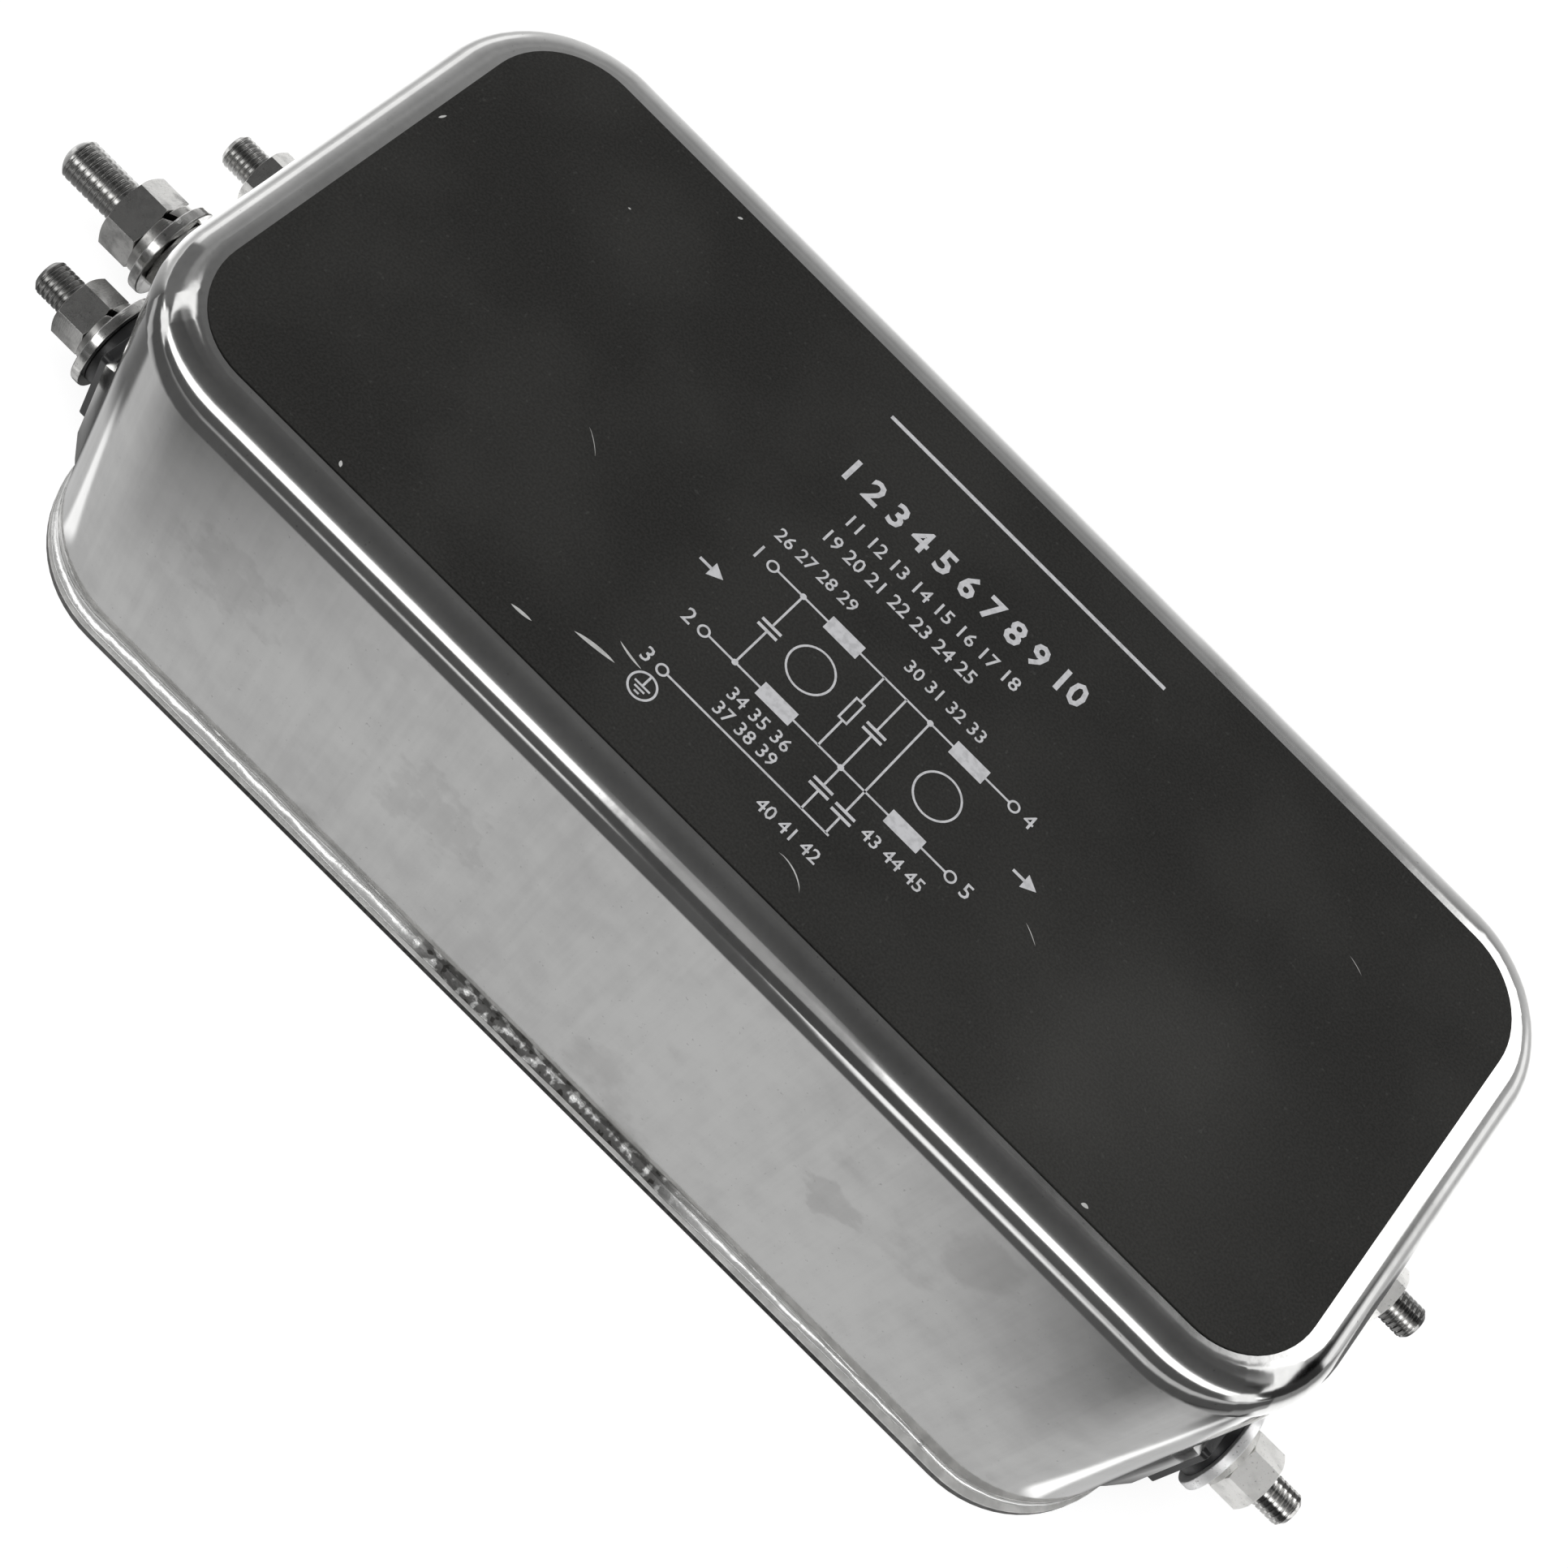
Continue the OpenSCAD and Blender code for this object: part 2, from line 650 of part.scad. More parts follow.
can();
base_plate();
solder_seam();
mounting_nuts();
rating_label();
base_insulation_sheet();
bushing(LINE, P);  // line_p_bushing
bushing(LINE, N);  // line_n_bushing
bushing(LOAD, P);  // load_p_bushing
bushing(LOAD, N);  // load_n_bushing
inner_bushing(LINE, P);  // line_p_inner_bushing
inner_bushing(LINE, N);  // line_n_inner_bushing
inner_bushing(LOAD, P);  // load_p_inner_bushing
inner_bushing(LOAD, N);  // load_n_inner_bushing
terminal_stud(LINE, P);  // line_p_stud
terminal_stud(LINE, N);  // line_n_stud
terminal_stud(LOAD, P);  // load_p_stud
terminal_stud(LOAD, N);  // load_n_stud
earth_stud();
terminal_flat_washers();
terminal_spring_washers();
terminal_nuts();
inner_flat_washers();
inner_nuts();
earth_spacer();
earth_flat_washer();
earth_spring_washer();
earth_nut();
earth_inner_washer();
earth_inner_nut();
choke_core(line_choke_x);  // line_choke_core
choke_case(line_choke_x);  // line_choke_case
choke_case_lid(line_choke_x);  // line_choke_case_lid
choke_divider(line_choke_x);  // line_choke_divider
choke_winding(line_choke_x, P);  // line_choke_winding_p
choke_winding(line_choke_x, N);  // line_choke_winding_n
choke_core(load_choke_x);  // load_choke_core
choke_case(load_choke_x);  // load_choke_case
choke_case_lid(load_choke_x);  // load_choke_case_lid
choke_divider(load_choke_x);  // load_choke_divider
choke_winding(load_choke_x, P);  // load_choke_winding_p
choke_winding(load_choke_x, N);  // load_choke_winding_n
x_capacitor(line_cap_x);  // line_x_capacitor
x_capacitor(middle_cap_x);  // middle_x_capacitor
y_capacitor(P);  // y_capacitor_p
y_capacitor(N);  // y_capacitor_n
bleed_resistor();
terminal_bar(LINE, P, line_choke_x - lead_dx);  // line_bar_p
terminal_bar(LINE, N, line_choke_x - lead_dx);  // line_bar_n
middle_bar(P);  // middle_bar_p
middle_bar(N);  // middle_bar_n
terminal_bar(LOAD, P, load_choke_x + lead_dx);  // load_bar_p
terminal_bar(LOAD, N, load_choke_x + lead_dx);  // load_bar_n
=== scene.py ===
"""Looks, stage and camera of the EMI line filter.

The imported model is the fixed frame. Steel pieces get softened copies of their solids, the studs get
real threads, the solder bead its lumps, and the rating label its print and scratches.
Everything is in metres, in the part's own frame: +X load end, +Z up, base at z = 0.
"""

import logging
import math
from contextlib import contextmanager
from dataclasses import dataclass
from enum import Enum
from typing import Any, Callable, Iterator, Optional, Sequence, Union

import bmesh
import bpy
import numpy as np
from mathutils import Matrix, Vector


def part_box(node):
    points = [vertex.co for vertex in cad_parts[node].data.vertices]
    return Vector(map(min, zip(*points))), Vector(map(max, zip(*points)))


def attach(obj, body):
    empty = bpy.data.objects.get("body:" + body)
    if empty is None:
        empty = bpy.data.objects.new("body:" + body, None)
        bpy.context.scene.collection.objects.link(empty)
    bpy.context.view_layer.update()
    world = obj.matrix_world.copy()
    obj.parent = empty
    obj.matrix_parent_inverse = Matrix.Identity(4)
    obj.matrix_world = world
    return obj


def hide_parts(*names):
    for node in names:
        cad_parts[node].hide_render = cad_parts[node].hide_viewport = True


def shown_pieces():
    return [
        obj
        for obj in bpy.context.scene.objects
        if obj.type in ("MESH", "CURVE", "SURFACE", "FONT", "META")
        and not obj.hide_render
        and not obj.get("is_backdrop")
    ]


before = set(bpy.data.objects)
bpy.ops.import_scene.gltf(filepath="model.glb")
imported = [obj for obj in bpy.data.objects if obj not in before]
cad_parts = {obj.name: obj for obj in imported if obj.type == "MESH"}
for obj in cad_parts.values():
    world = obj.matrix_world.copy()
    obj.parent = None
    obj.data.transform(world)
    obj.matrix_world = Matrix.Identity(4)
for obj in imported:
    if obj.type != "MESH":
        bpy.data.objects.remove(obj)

LOG = logging.getLogger("line_filter")
MM = 0.001
BODY = "root"
MERGE_DISTANCE = 2e-6
FLAT_ANGLE = math.radians(0.5)
SHARP_ANGLE = math.radians(27)

Colour = tuple[float, float, float]
Value = Union[float, "Wire"]

DARK_GREY: Colour = (0.08, 0.078, 0.075)
WHITE: Colour = (1, 1, 1)


# ---------------------------------------------------------------- shader maths


def maths(operation: str, reflected: bool = False) -> Callable[..., "Wire"]:
    """Makes a Wire method out of a Math node's operation.

    Args:
        operation: The Math node's operation.
        reflected: Whether the Wire comes after the other value, as in 1 - mask.

    Returns:
        A method that adds the node and returns its output.
    """

    def apply(self: "Wire", *others: Value) -> "Wire":
        """Adds the node."""
        values = (*others, self) if reflected else (self, *others)
        return self.graph.add("ShaderNodeMath", {"operation": operation}, dict(enumerate(values)))["Value"]

    return apply


class Wire:
    """One output socket of a node tree, with arithmetic that adds Math nodes."""

    __add__ = __radd__ = maths("ADD")
    __sub__ = maths("SUBTRACT")
    __rsub__ = maths("SUBTRACT", reflected=True)
    __mul__ = __rmul__ = maths("MULTIPLY")
    __truediv__ = maths("DIVIDE")
    __pow__ = maths("POWER")
    __abs__ = maths("ABSOLUTE")
    larger = maths("MAXIMUM")

    def __init__(self, graph: "Graph", socket: bpy.types.NodeSocket) -> None:
        """Keeps the tree and one of its output sockets."""
        self.graph = graph
        self.socket = socket

    def step(self, low: float, high: float) -> "Wire":
        """Rises smoothly from 0 at low to 1 at high.

        Args:
            low: Value where the result is 0.
            high: Value where the result is 1.

        Returns:
            The eased value.
        """
        inputs = {"Value": self, "From Min": low, "From Max": high}
        settings = {"interpolation_type": "SMOOTHSTEP"}
        return self.graph.add("ShaderNodeMapRange", settings, inputs)["Result"]

    def fall(self, low: float, high: float) -> "Wire":
        """Falls smoothly from 1 at low to 0 at high."""
        return 1 - self.step(low, high)

    def towards(self, other: "Wire", share: "Wire") -> "Wire":
        """Goes from this value to another by a share: a + (b - a) * share."""
        return self + (other - self) * share


class Made:
    """A node that has just been added; its outputs are reached by name."""

    def __init__(self, graph: "Graph", node: bpy.types.Node) -> None:
        """Keeps the tree and the node."""
        self.graph = graph
        self.node = node

    def __getitem__(self, name: str) -> Wire:
        """The output socket of that name."""
        return Wire(self.graph, self.node.outputs[name])


class Graph:
    """A node tree that is filled from Python expressions."""

    def __init__(self, tree: bpy.types.NodeTree) -> None:
        """Takes a material's or the world's tree, and empties it."""
        self.tree = tree
        tree.nodes.clear()

    def add(self, kind: str, settings: dict[str, Any] = {}, inputs: dict[Any, Any] = {}) -> Made:
        """Adds one node.

        Args:
            kind: The node's type.
            settings: Properties, set first. "stops" holds a ramp's (position, grey or colour) pairs.
            inputs: Socket name or index to a value or a Wire.

        Returns:
            The node, with its outputs by name.
        """
        node = self.tree.nodes.new(kind)
        for key, value in settings.items():
            if key == "stops":
                self._fill_ramp(node.color_ramp, value)
            else:
                setattr(node, key, value)
        for key, value in inputs.items():
            if isinstance(value, Wire):
                self.tree.links.new(value.socket, node.inputs[key])
            else:
                node.inputs[key].default_value = value
        return Made(self, node)

    @staticmethod
    def _fill_ramp(ramp: bpy.types.ColorRamp, stops: Sequence[tuple[float, Any]]) -> None:
        """Sets a ramp's stops.

        Args:
            ramp: The ramp, which starts with two stops.
            stops: Position, and grey or colour, of each.
        """
        while len(ramp.elements) < len(stops):
            ramp.elements.new(0.5)
        for element, (position, shade) in zip(ramp.elements, stops):
            element.position = position
            element.color = (shade,) * 3 + (1,) if isinstance(shade, (int, float)) else (*shade, 1)

    def place(self) -> Wire:
        """Object coordinates, in metres."""
        return self.add("ShaderNodeTexCoord")["Object"]

    def axes(self, where: Optional[Wire] = None) -> tuple[Wire, Wire, Wire]:
        """X, Y and Z of some coordinates, or of the object's own."""
        parts = self.add("ShaderNodeSeparateXYZ", {}, {0: where or self.place()})
        return parts["X"], parts["Y"], parts["Z"]

    def load_end(self) -> Wire:
        """1 at the load end's terminals, 0 at the line end's."""
        return self.axes()[0].step(60 * MM, 80 * MM)

    def stretched(self, scale: Sequence[float]) -> Wire:
        """Object coordinates scaled along each axis, for patterns with a direction."""
        return self.add("ShaderNodeMapping", {}, {"Vector": self.place(), "Scale": tuple(scale)})["Vector"]

    def noise(self, size: float, detail: float, where: Optional[Wire] = None) -> Wire:
        """Noise about 0.5, with blotches of size metres and detail finer octaves."""
        inputs = {"Vector": where or self.place(), "Scale": 1 / size, "Detail": detail}
        return self.add("ShaderNodeTexNoise", {}, inputs)["Fac"]

    def blend(self, share: Value, low: Union[Colour, Wire], high: Union[Colour, Wire]) -> Wire:
        """Mixes two colours.

        Args:
            share: 0 gives low, 1 gives high.
            low: First colour.
            high: Second colour.

        Returns:
            The mixed colour.
        """
        sockets = {0: share, 6: self._rgba(low), 7: self._rgba(high)}
        mix = self.add("ShaderNodeMix", {"data_type": "RGBA"}, sockets)
        return Wire(self, mix.node.outputs[2])

    @staticmethod
    def _rgba(colour: Union[Colour, Wire]) -> Any:
        """Adds alpha to a plain colour."""
        return colour if isinstance(colour, Wire) else (*colour, 1)

    def bump(self, height: Wire, depth: float) -> Wire:
        """A normal bent by a height in 0 to 1, whose depth is in metres at 1."""
        return self.add("ShaderNodeBump", {}, {"Height": height, "Distance": depth, "Strength": 1})["Normal"]

    def along(self, way: Wire, axis: Colour) -> Wire:
        """How far a direction points along an axis, as their dot product."""
        return self.add("ShaderNodeVectorMath", {"operation": "DOT_PRODUCT"}, {0: way, 1: axis})["Value"]

    def shine(self, kind: str, colour: Union[Colour, Wire], strength: Value = 1) -> Wire:
        """The shader of a node that gives off light: an Emission, or the world's Background."""
        made = self.add(kind, {}, {"Color": self._rgba(colour), "Strength": strength})
        return Wire(self, made.node.outputs[0])

    def either(self, share: Wire, first: Wire, second: Wire) -> Wire:
        """Mixes two shaders; a share of 1 gives the second."""
        return self.add("ShaderNodeMixShader", {}, {0: share, 1: first, 2: second})["Shader"]


def blank_material(name: str) -> tuple[bpy.types.Material, Graph]:
    """A new material and its emptied tree."""
    made = bpy.data.materials.new(name)
    made.use_nodes = True
    return made, Graph(made.node_tree)


# ------------------------------------------------------------------- finishes


@dataclass(frozen=True)
class Finish:
    """One procedural material: a name, a base look, and a pattern that each kind of finish adds."""

    name: str
    colour: Colour
    roughness: float = 0.4
    metallic: float = 0.0
    specular: float = 0.5

    def material(self) -> bpy.types.Material:
        """Builds the material once.

        Returns:
            The material of this finish's name.
        """
        known = bpy.data.materials.get(self.name)
        if known is not None:
            return known
        made, graph = blank_material(self.name)
        constants = {"Metallic": self.metallic, "Specular IOR Level": self.specular}
        shader = graph.add("ShaderNodeBsdfPrincipled", {}, {**constants, **self.pattern(graph)})
        graph.add("ShaderNodeOutputMaterial", {}, {"Surface": shader["BSDF"]})
        return made

    def pattern(self, graph: Graph) -> dict[str, Any]:
        """What varies over the surface, as Principled socket names and what feeds them."""
        raise NotImplementedError

    def shade(self, factor: float) -> Colour:
        """The base colour, darker or lighter by a factor."""
        return tuple(factor * c for c in self.colour)


@dataclass(frozen=True)
class DrawnSteel(Finish):
    """Plated deep-drawn steel: clouded satin plating, faint draw lines, finger smudges and pits.

    Each dab on the near wall is a place along it, a height, a radius, all in millimetres, and a depth.
    """

    metallic: float = 1.0
    roughness: float = 0.075
    dabs: tuple[tuple[float, float, float, float], ...] = (
        (37.5, 28.3, 4.2, 0.55),
        (-26.0, 27.0, 9.0, 0.4),
        (-60.0, 32.0, 8.0, 0.35),
    )

    def pattern(self, graph: Graph) -> dict[str, Any]:
        """Clouds in two sizes darken the plating, smudges roughen it, and draw lines run up the walls.

        Args:
            graph: The material's tree.

        Returns:
            Principled socket names and what feeds them.
        """
        broad = graph.noise(34 * MM, 3)
        cloud = graph.noise(5 * MM, 5)
        smudge = graph.noise(15 * MM, 6).step(0.6, 0.72) * 0.6
        place_x, place_y, place_z = graph.axes()
        near_wall = place_y.fall(-39 * MM, -36 * MM)
        ragged = (graph.noise(3 * MM, 5) - 0.5) * 2.6
        for x, z, radius, depth in self.dabs:
            away = ((place_x - x * MM) ** 2 + (place_z - z * MM) ** 2) ** 0.5 / (radius * MM)
            smudge = smudge.larger((ragged - away + 1).step(0.0, 0.5) * near_wall * depth)
        lines = graph.noise(1.1 * MM, 3, graph.stretched((1, 1, 0.04)))
        pits = graph.noise(0.5 * MM, 2).step(0.70, 0.78)
        tone = broad * 0.5 + cloud * 0.32 + lines * 0.18
        dark = self.shade(0.8)
        plate = graph.blend(tone.step(0.3, 0.66), dark, self.colour)
        soiled = graph.blend(smudge * 0.34, plate, (0.20, 0.195, 0.185))
        ripple = graph.noise(22 * MM, 1) * 0.9 + lines * 0.015 + cloud * 0.085
        return {
            "Base Color": graph.blend(pits * 0.35, soiled, (0.12, 0.12, 0.12)),
            "Roughness": self.roughness + cloud * 0.05 + smudge * 0.1,
            "Normal": graph.bump(ripple, 0.09 * MM),
        }


@dataclass(frozen=True)
class CutPlate(Finish):
    """The base plate: tinned on its faces, unplated and dark on its cut edge, which painted shade darkens
    most along the sides.
    """

    metallic: float = 0.35
    roughness: float = 0.42
    top: float = 0.0
    soft_edge: tuple[float, float] = (0.08 * MM, 0.16 * MM)

    def pattern(self, graph: Graph) -> dict[str, Any]:
        """The cut edge is what lies between the faces' heights; it is darkest along the middle, where painted
        shade is added to its unplated steel.

        Args:
            graph: The material's tree.

        Returns:
            Principled socket names and what feeds them.
        """
        x, _, z = graph.axes()
        low, high = self.soft_edge
        edge = z.step(low, high) * z.fall(self.top - high, self.top - low)
        cloud = graph.noise(2.4 * MM, 5)
        shear = graph.noise(0.7 * MM, 3, graph.stretched((1, 1, 0.1)))
        plated = graph.blend(cloud.step(0.35, 0.65), self.shade(0.78), self.colour)
        # unplated steel, made near black along the middle of each side by painted shade; it lightens towards
        # the ends
        unplated_and_shaded = graph.blend(shear.step(0.35, 0.7), (0.006, 0.006, 0.006), (0.05, 0.049, 0.047))
        bright = graph.blend(shear, (0.05, 0.05, 0.049), (0.2, 0.197, 0.193))
        cut = graph.blend(abs(x).step(50 * MM, 76 * MM), unplated_and_shaded, bright)
        return {
            "Base Color": graph.blend(edge, plated, cut),
            "Roughness": self.roughness + cloud * 0.16 + edge * 0.15,
            "Normal": graph.bump(cloud * 0.6 + shear * 0.4, 0.03 * MM),
        }


@dataclass(frozen=True)
class Solder(Finish):
    """Bright tin solder with a slow ripple, and a burnt stretch in the middle of the near side."""

    metallic: float = 0.6
    roughness: float = 0.2
    burnt: tuple[float, float] = (-17 * MM, 25 * MM)

    def pattern(self, graph: Graph) -> dict[str, Any]:
        """Flux spots darken the burnt stretch and, thinly, the rest; two ripples bend the skin.

        Args:
            graph: The material's tree.

        Returns:
            Principled socket names and what feeds them.
        """
        x, y, _ = graph.axes()
        start, end = self.burnt
        burnt = x.step(start - 6 * MM, start + 3 * MM) * x.fall(end - 3 * MM, end + 7 * MM)
        burnt = burnt * y.fall(-5 * MM, 5 * MM)
        spot = graph.noise(1.7 * MM, 4)
        stain = spot.step(0.62, 0.7) * 0.5 + burnt * spot.step(0.36, 0.5) * 0.9
        ripple = graph.noise(2.6 * MM, 2)
        grain = graph.noise(0.5 * MM, 2)
        return {
            "Base Color": graph.blend(stain, self.colour, (0.045, 0.043, 0.04)),
            "Roughness": self.roughness + stain * 0.3 + grain * 0.06,
            "Normal": graph.bump(ripple * 0.85 + (0.15 + burnt * 0.5) * grain, 0.16 * MM),
        }


@dataclass(frozen=True)
class PlatedFastener(Finish):
    """Plated nuts and washers: turned grain, worn darker patches, and a lighter load end as painted light."""

    metallic: float = 1.0
    roughness: float = 0.2
    grain: float = 0.5

    def pattern(self, graph: Graph) -> dict[str, Any]:
        """Fine grain runs round the threads' axis, which is X.

        Painted light: the load end's fasteners stand in strong light, so their colour is painted lighter and
        less worn, and they are made matter.

        Args:
            graph: The material's tree.

        Returns:
            Principled socket names and what feeds them.
        """
        load = graph.load_end()
        wear = graph.noise(2.6 * MM, 5).step(0.42, 0.72)
        turned = graph.noise(0.9 * MM, 3, graph.stretched((6, 0.8, 0.8)))
        pits = graph.noise(0.3 * MM, 2).step(0.62, 0.75)
        worn = self.shade(0.32)
        # painted light: a lighter colour for the load end's fasteners
        bright = tuple(min(1.0, c) for c in self.shade(1.6))
        # painted light: fewer worn patches at the load end, so its pieces read lighter
        plated = graph.blend(wear * (0.7 - load * 0.45), graph.blend(load, self.colour, bright), worn)
        return {
            "Base Color": graph.blend(pits * 0.5, plated, DARK_GREY),
            "Roughness": self.roughness + wear * 0.1 + turned * 0.08 + load * 0.2,
            "Metallic": 1 - load * 0.3,
            "Normal": graph.bump(turned * self.grain + wear * 0.3, 0.03 * MM),
        }


@dataclass(frozen=True)
class ThreadedSteel(Finish):
    """Stud thread: dark stripes along the rod as painted reflections, a lighter load end as painted light,
    and darker roots.
    """

    metallic: float = 1.0
    roughness: float = 0.2

    def pattern(self, graph: Graph) -> dict[str, Any]:
        """Stripes of painted reflection run along X; the mesh's own attribute "root" is 1 at a root, and the
        colour darkens along it.

        Args:
            graph: The material's tree.

        Returns:
            Principled socket names and what feeds them.
        """
        root = graph.add("ShaderNodeAttribute", {"attribute_name": "root"})["Fac"]
        wear = graph.noise(1.8 * MM, 4)
        load = graph.load_end()
        # painted reflection: dark stripes along the rod, strongest at the load end
        painted_reflection_stripes = graph.noise(1.3 * MM, 1, graph.stretched((0.03, 1, 1))).step(0.44, 0.56)
        root_darkening = (root * (0.4 + wear * 0.5)).step(0.3, 1.2)
        # painted light: the rod is darker at the line end and lighter at the load end
        rod = graph.blend(load, self.shade(0.72), self.colour)
        metal = graph.blend(painted_reflection_stripes * (0.6 + load * 0.35), rod, self.shade(0.14))
        return {
            "Base Color": graph.blend(root_darkening * 0.7, metal, DARK_GREY),
            "Roughness": self.roughness + root_darkening * 0.2 + wear * 0.1,
        }


@dataclass(frozen=True)
class LabelFilm(Finish):
    """Matt charcoal film with a fine even grain, and a greyer zone of painted sheen, which stands for a soft
    reflection.
    """

    roughness: float = 0.65
    specular: float = 0.12
    # centre and radius of the painted sheen, a lighter patch that stands for a soft reflection
    rubbed: tuple[float, float, float] = (52 * MM, -20 * MM, 34 * MM)

    def pattern(self, graph: Graph) -> dict[str, Any]:
        """Grain mixes two greys, broad clouds shift them, and the painted sheen fades with distance.

        Args:
            graph: The material's tree.

        Returns:
            Principled socket names and what feeds them.
        """
        place_x, place_y, _ = graph.axes()
        x, y, radius = self.rubbed
        away = ((place_x - x) ** 2 + (place_y - y) ** 2) ** 0.5
        grain = graph.noise(0.32 * MM, 2)
        fleck = graph.noise(0.7 * MM, 1).step(0.7, 0.8)
        cloud = graph.noise(26 * MM, 5)
        # painted sheen: the film's colour is lighter near this centre, standing for a soft reflection
        rubbed = away.fall(0.1 * radius, radius)
        tone = grain.step(0.3, 0.7) * 0.3 + cloud.step(0.35, 0.65) * 0.26 + rubbed * 0.44
        dark, lit = self.shade(0.7), self.shade(2.1)
        film = graph.blend(tone, dark, lit)
        return {
            "Base Color": graph.blend(fleck * 0.2, film, (0.10, 0.10, 0.095)),
            "Roughness": self.roughness + (cloud - 0.5) * 0.2,
            "Normal": graph.bump(grain, 0.015 * MM),
        }


@dataclass(frozen=True)
class PrintInk(Finish):
    """Screen-printed white ink, slightly uneven in cover."""

    roughness: float = 0.5

    def pattern(self, graph: Graph) -> dict[str, Any]:
        """Thin places let the film's grey through.

        Args:
            graph: The material's tree.

        Returns:
            Principled socket names and what feeds them.
        """
        cover = graph.noise(0.7 * MM, 3).step(0.3, 0.6)
        thin = self.shade(0.8)
        return {"Base Color": graph.blend(cover, thin, self.colour), "Roughness": self.roughness}


@dataclass(frozen=True)
class MouldedPlastic(Finish):
    """Moulded plastic: fine spark-eroded grain and a slightly rubbed sheen."""

    grain_depth: float = 0.02 * MM

    def pattern(self, graph: Graph) -> dict[str, Any]:
        """Grain bends the surface, and rubbed clouds polish it.

        Args:
            graph: The material's tree.

        Returns:
            Principled socket names and what feeds them.
        """
        grain = graph.noise(0.25 * MM, 2)
        rub = graph.noise(4 * MM, 4)
        dark = self.shade(0.75)
        return {
            "Base Color": graph.blend(rub.step(0.35, 0.65), dark, self.colour),
            "Roughness": self.roughness + (rub - 0.5) * 0.2,
            "Normal": graph.bump(grain, self.grain_depth),
        }


@dataclass(frozen=True)
class Ferrite(Finish):
    """Sintered core: dark, granular, with pale dust."""

    roughness: float = 0.6

    def pattern(self, graph: Graph) -> dict[str, Any]:
        """Grains by cells, dust by noise.

        Args:
            graph: The material's tree.

        Returns:
            Principled socket names and what feeds them.
        """
        where = graph.place()
        cells = graph.add("ShaderNodeTexVoronoi", {}, {"Vector": where, "Scale": 1 / (0.7 * MM)})["Distance"]
        dust = graph.noise(3 * MM, 4).step(0.55, 0.75)
        body = graph.blend(cells, self.shade(0.6), self.shade(1.6))
        return {
            "Base Color": graph.blend(dust * 0.4, body, (0.25, 0.25, 0.25)),
            "Roughness": self.roughness,
            "Normal": graph.bump(cells, 0.05 * MM),
        }


@dataclass(frozen=True)
class Copper(Finish):
    """Copper, bare or enamelled: warm metal with tarnish that gathers in clouds."""

    metallic: float = 1.0
    roughness: float = 0.25
    tarnish: Colour = (0.22, 0.07, 0.03)

    def pattern(self, graph: Graph) -> dict[str, Any]:
        """Tarnish clouds and fine drawing lines along the bars.

        Args:
            graph: The material's tree.

        Returns:
            Principled socket names and what feeds them.
        """
        cloud = graph.noise(4 * MM, 5).step(0.4, 0.75)
        lines = graph.noise(0.6 * MM, 2, graph.stretched((0.08, 1, 1)))
        return {
            "Base Color": graph.blend(cloud * 0.6, self.colour, self.tarnish),
            "Roughness": self.roughness + cloud * 0.2,
            "Normal": graph.bump(lines, 0.01 * MM),
        }


@dataclass(frozen=True)
class FibreSheet(Finish):
    """Pressed insulating board: short fibres in a tan binder."""

    roughness: float = 0.75

    def pattern(self, graph: Graph) -> dict[str, Any]:
        """Fibres are noise drawn out along X.

        Args:
            graph: The material's tree.

        Returns:
            Principled socket names and what feeds them.
        """
        fibres = graph.noise(0.6 * MM, 3, graph.stretched((0.15, 1, 1)))
        dark = self.shade(0.6)
        return {
            "Base Color": graph.blend(fibres.step(0.35, 0.65), dark, self.colour),
            "Roughness": self.roughness + (fibres - 0.5) * 0.2,
            "Normal": graph.bump(fibres, 0.04 * MM),
        }


class Finishes:
    """The finishes of this filter, one attribute each."""

    can = DrawnSteel("drawn_can_steel", (0.70, 0.698, 0.69))
    plate = CutPlate("base_plate_steel", (0.74, 0.735, 0.72), top=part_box("base_plate")[1].z)
    solder = Solder("tin_solder", (0.86, 0.86, 0.85))
    nut = PlatedFastener("plated_nut_steel", (0.62, 0.615, 0.60), roughness=0.15)
    washer = PlatedFastener("plated_washer_steel", (0.74, 0.735, 0.72), roughness=0.12)
    spring = PlatedFastener("spring_washer_steel", (0.50, 0.495, 0.48), roughness=0.24)
    thread = ThreadedSteel("stud_thread_steel", (0.66, 0.655, 0.64))
    film = LabelFilm("charcoal_film", (0.0235, 0.0232, 0.0220))
    ink = PrintInk("label_ink", (0.56, 0.56, 0.575))
    scratch = PrintInk("scratched_film", (0.50, 0.50, 0.49))
    bushing = MouldedPlastic("moulded_bushing", (0.018, 0.018, 0.019), roughness=0.34)
    case = MouldedPlastic("choke_case_plastic", (0.05, 0.16, 0.34), roughness=0.32)
    x_box = MouldedPlastic("capacitor_box_plastic", (0.72, 0.52, 0.06), roughness=0.36)
    y_coat = MouldedPlastic("disc_capacitor_coat", (0.04, 0.13, 0.42), roughness=0.28)
    resistor = MouldedPlastic("resistor_lacquer", (0.55, 0.40, 0.24), roughness=0.4)
    core = Ferrite("sintered_core", (0.05, 0.05, 0.055))
    board = FibreSheet("fibre_divider", (0.52, 0.44, 0.27))
    sheet = FibreSheet("insulating_sheet", (0.58, 0.46, 0.28))
    enamel = Copper("winding_enamel", (0.62, 0.22, 0.07), roughness=0.2)
    bar = Copper("bar_copper", (0.80, 0.42, 0.27))


# --------------------------------------------------------------------- meshes


def placed(name: str, data: bpy.types.ID) -> bpy.types.Object:
    """A new object in the scene."""
    made = bpy.data.objects.new(name, data)
    bpy.context.scene.collection.objects.link(made)
    return made


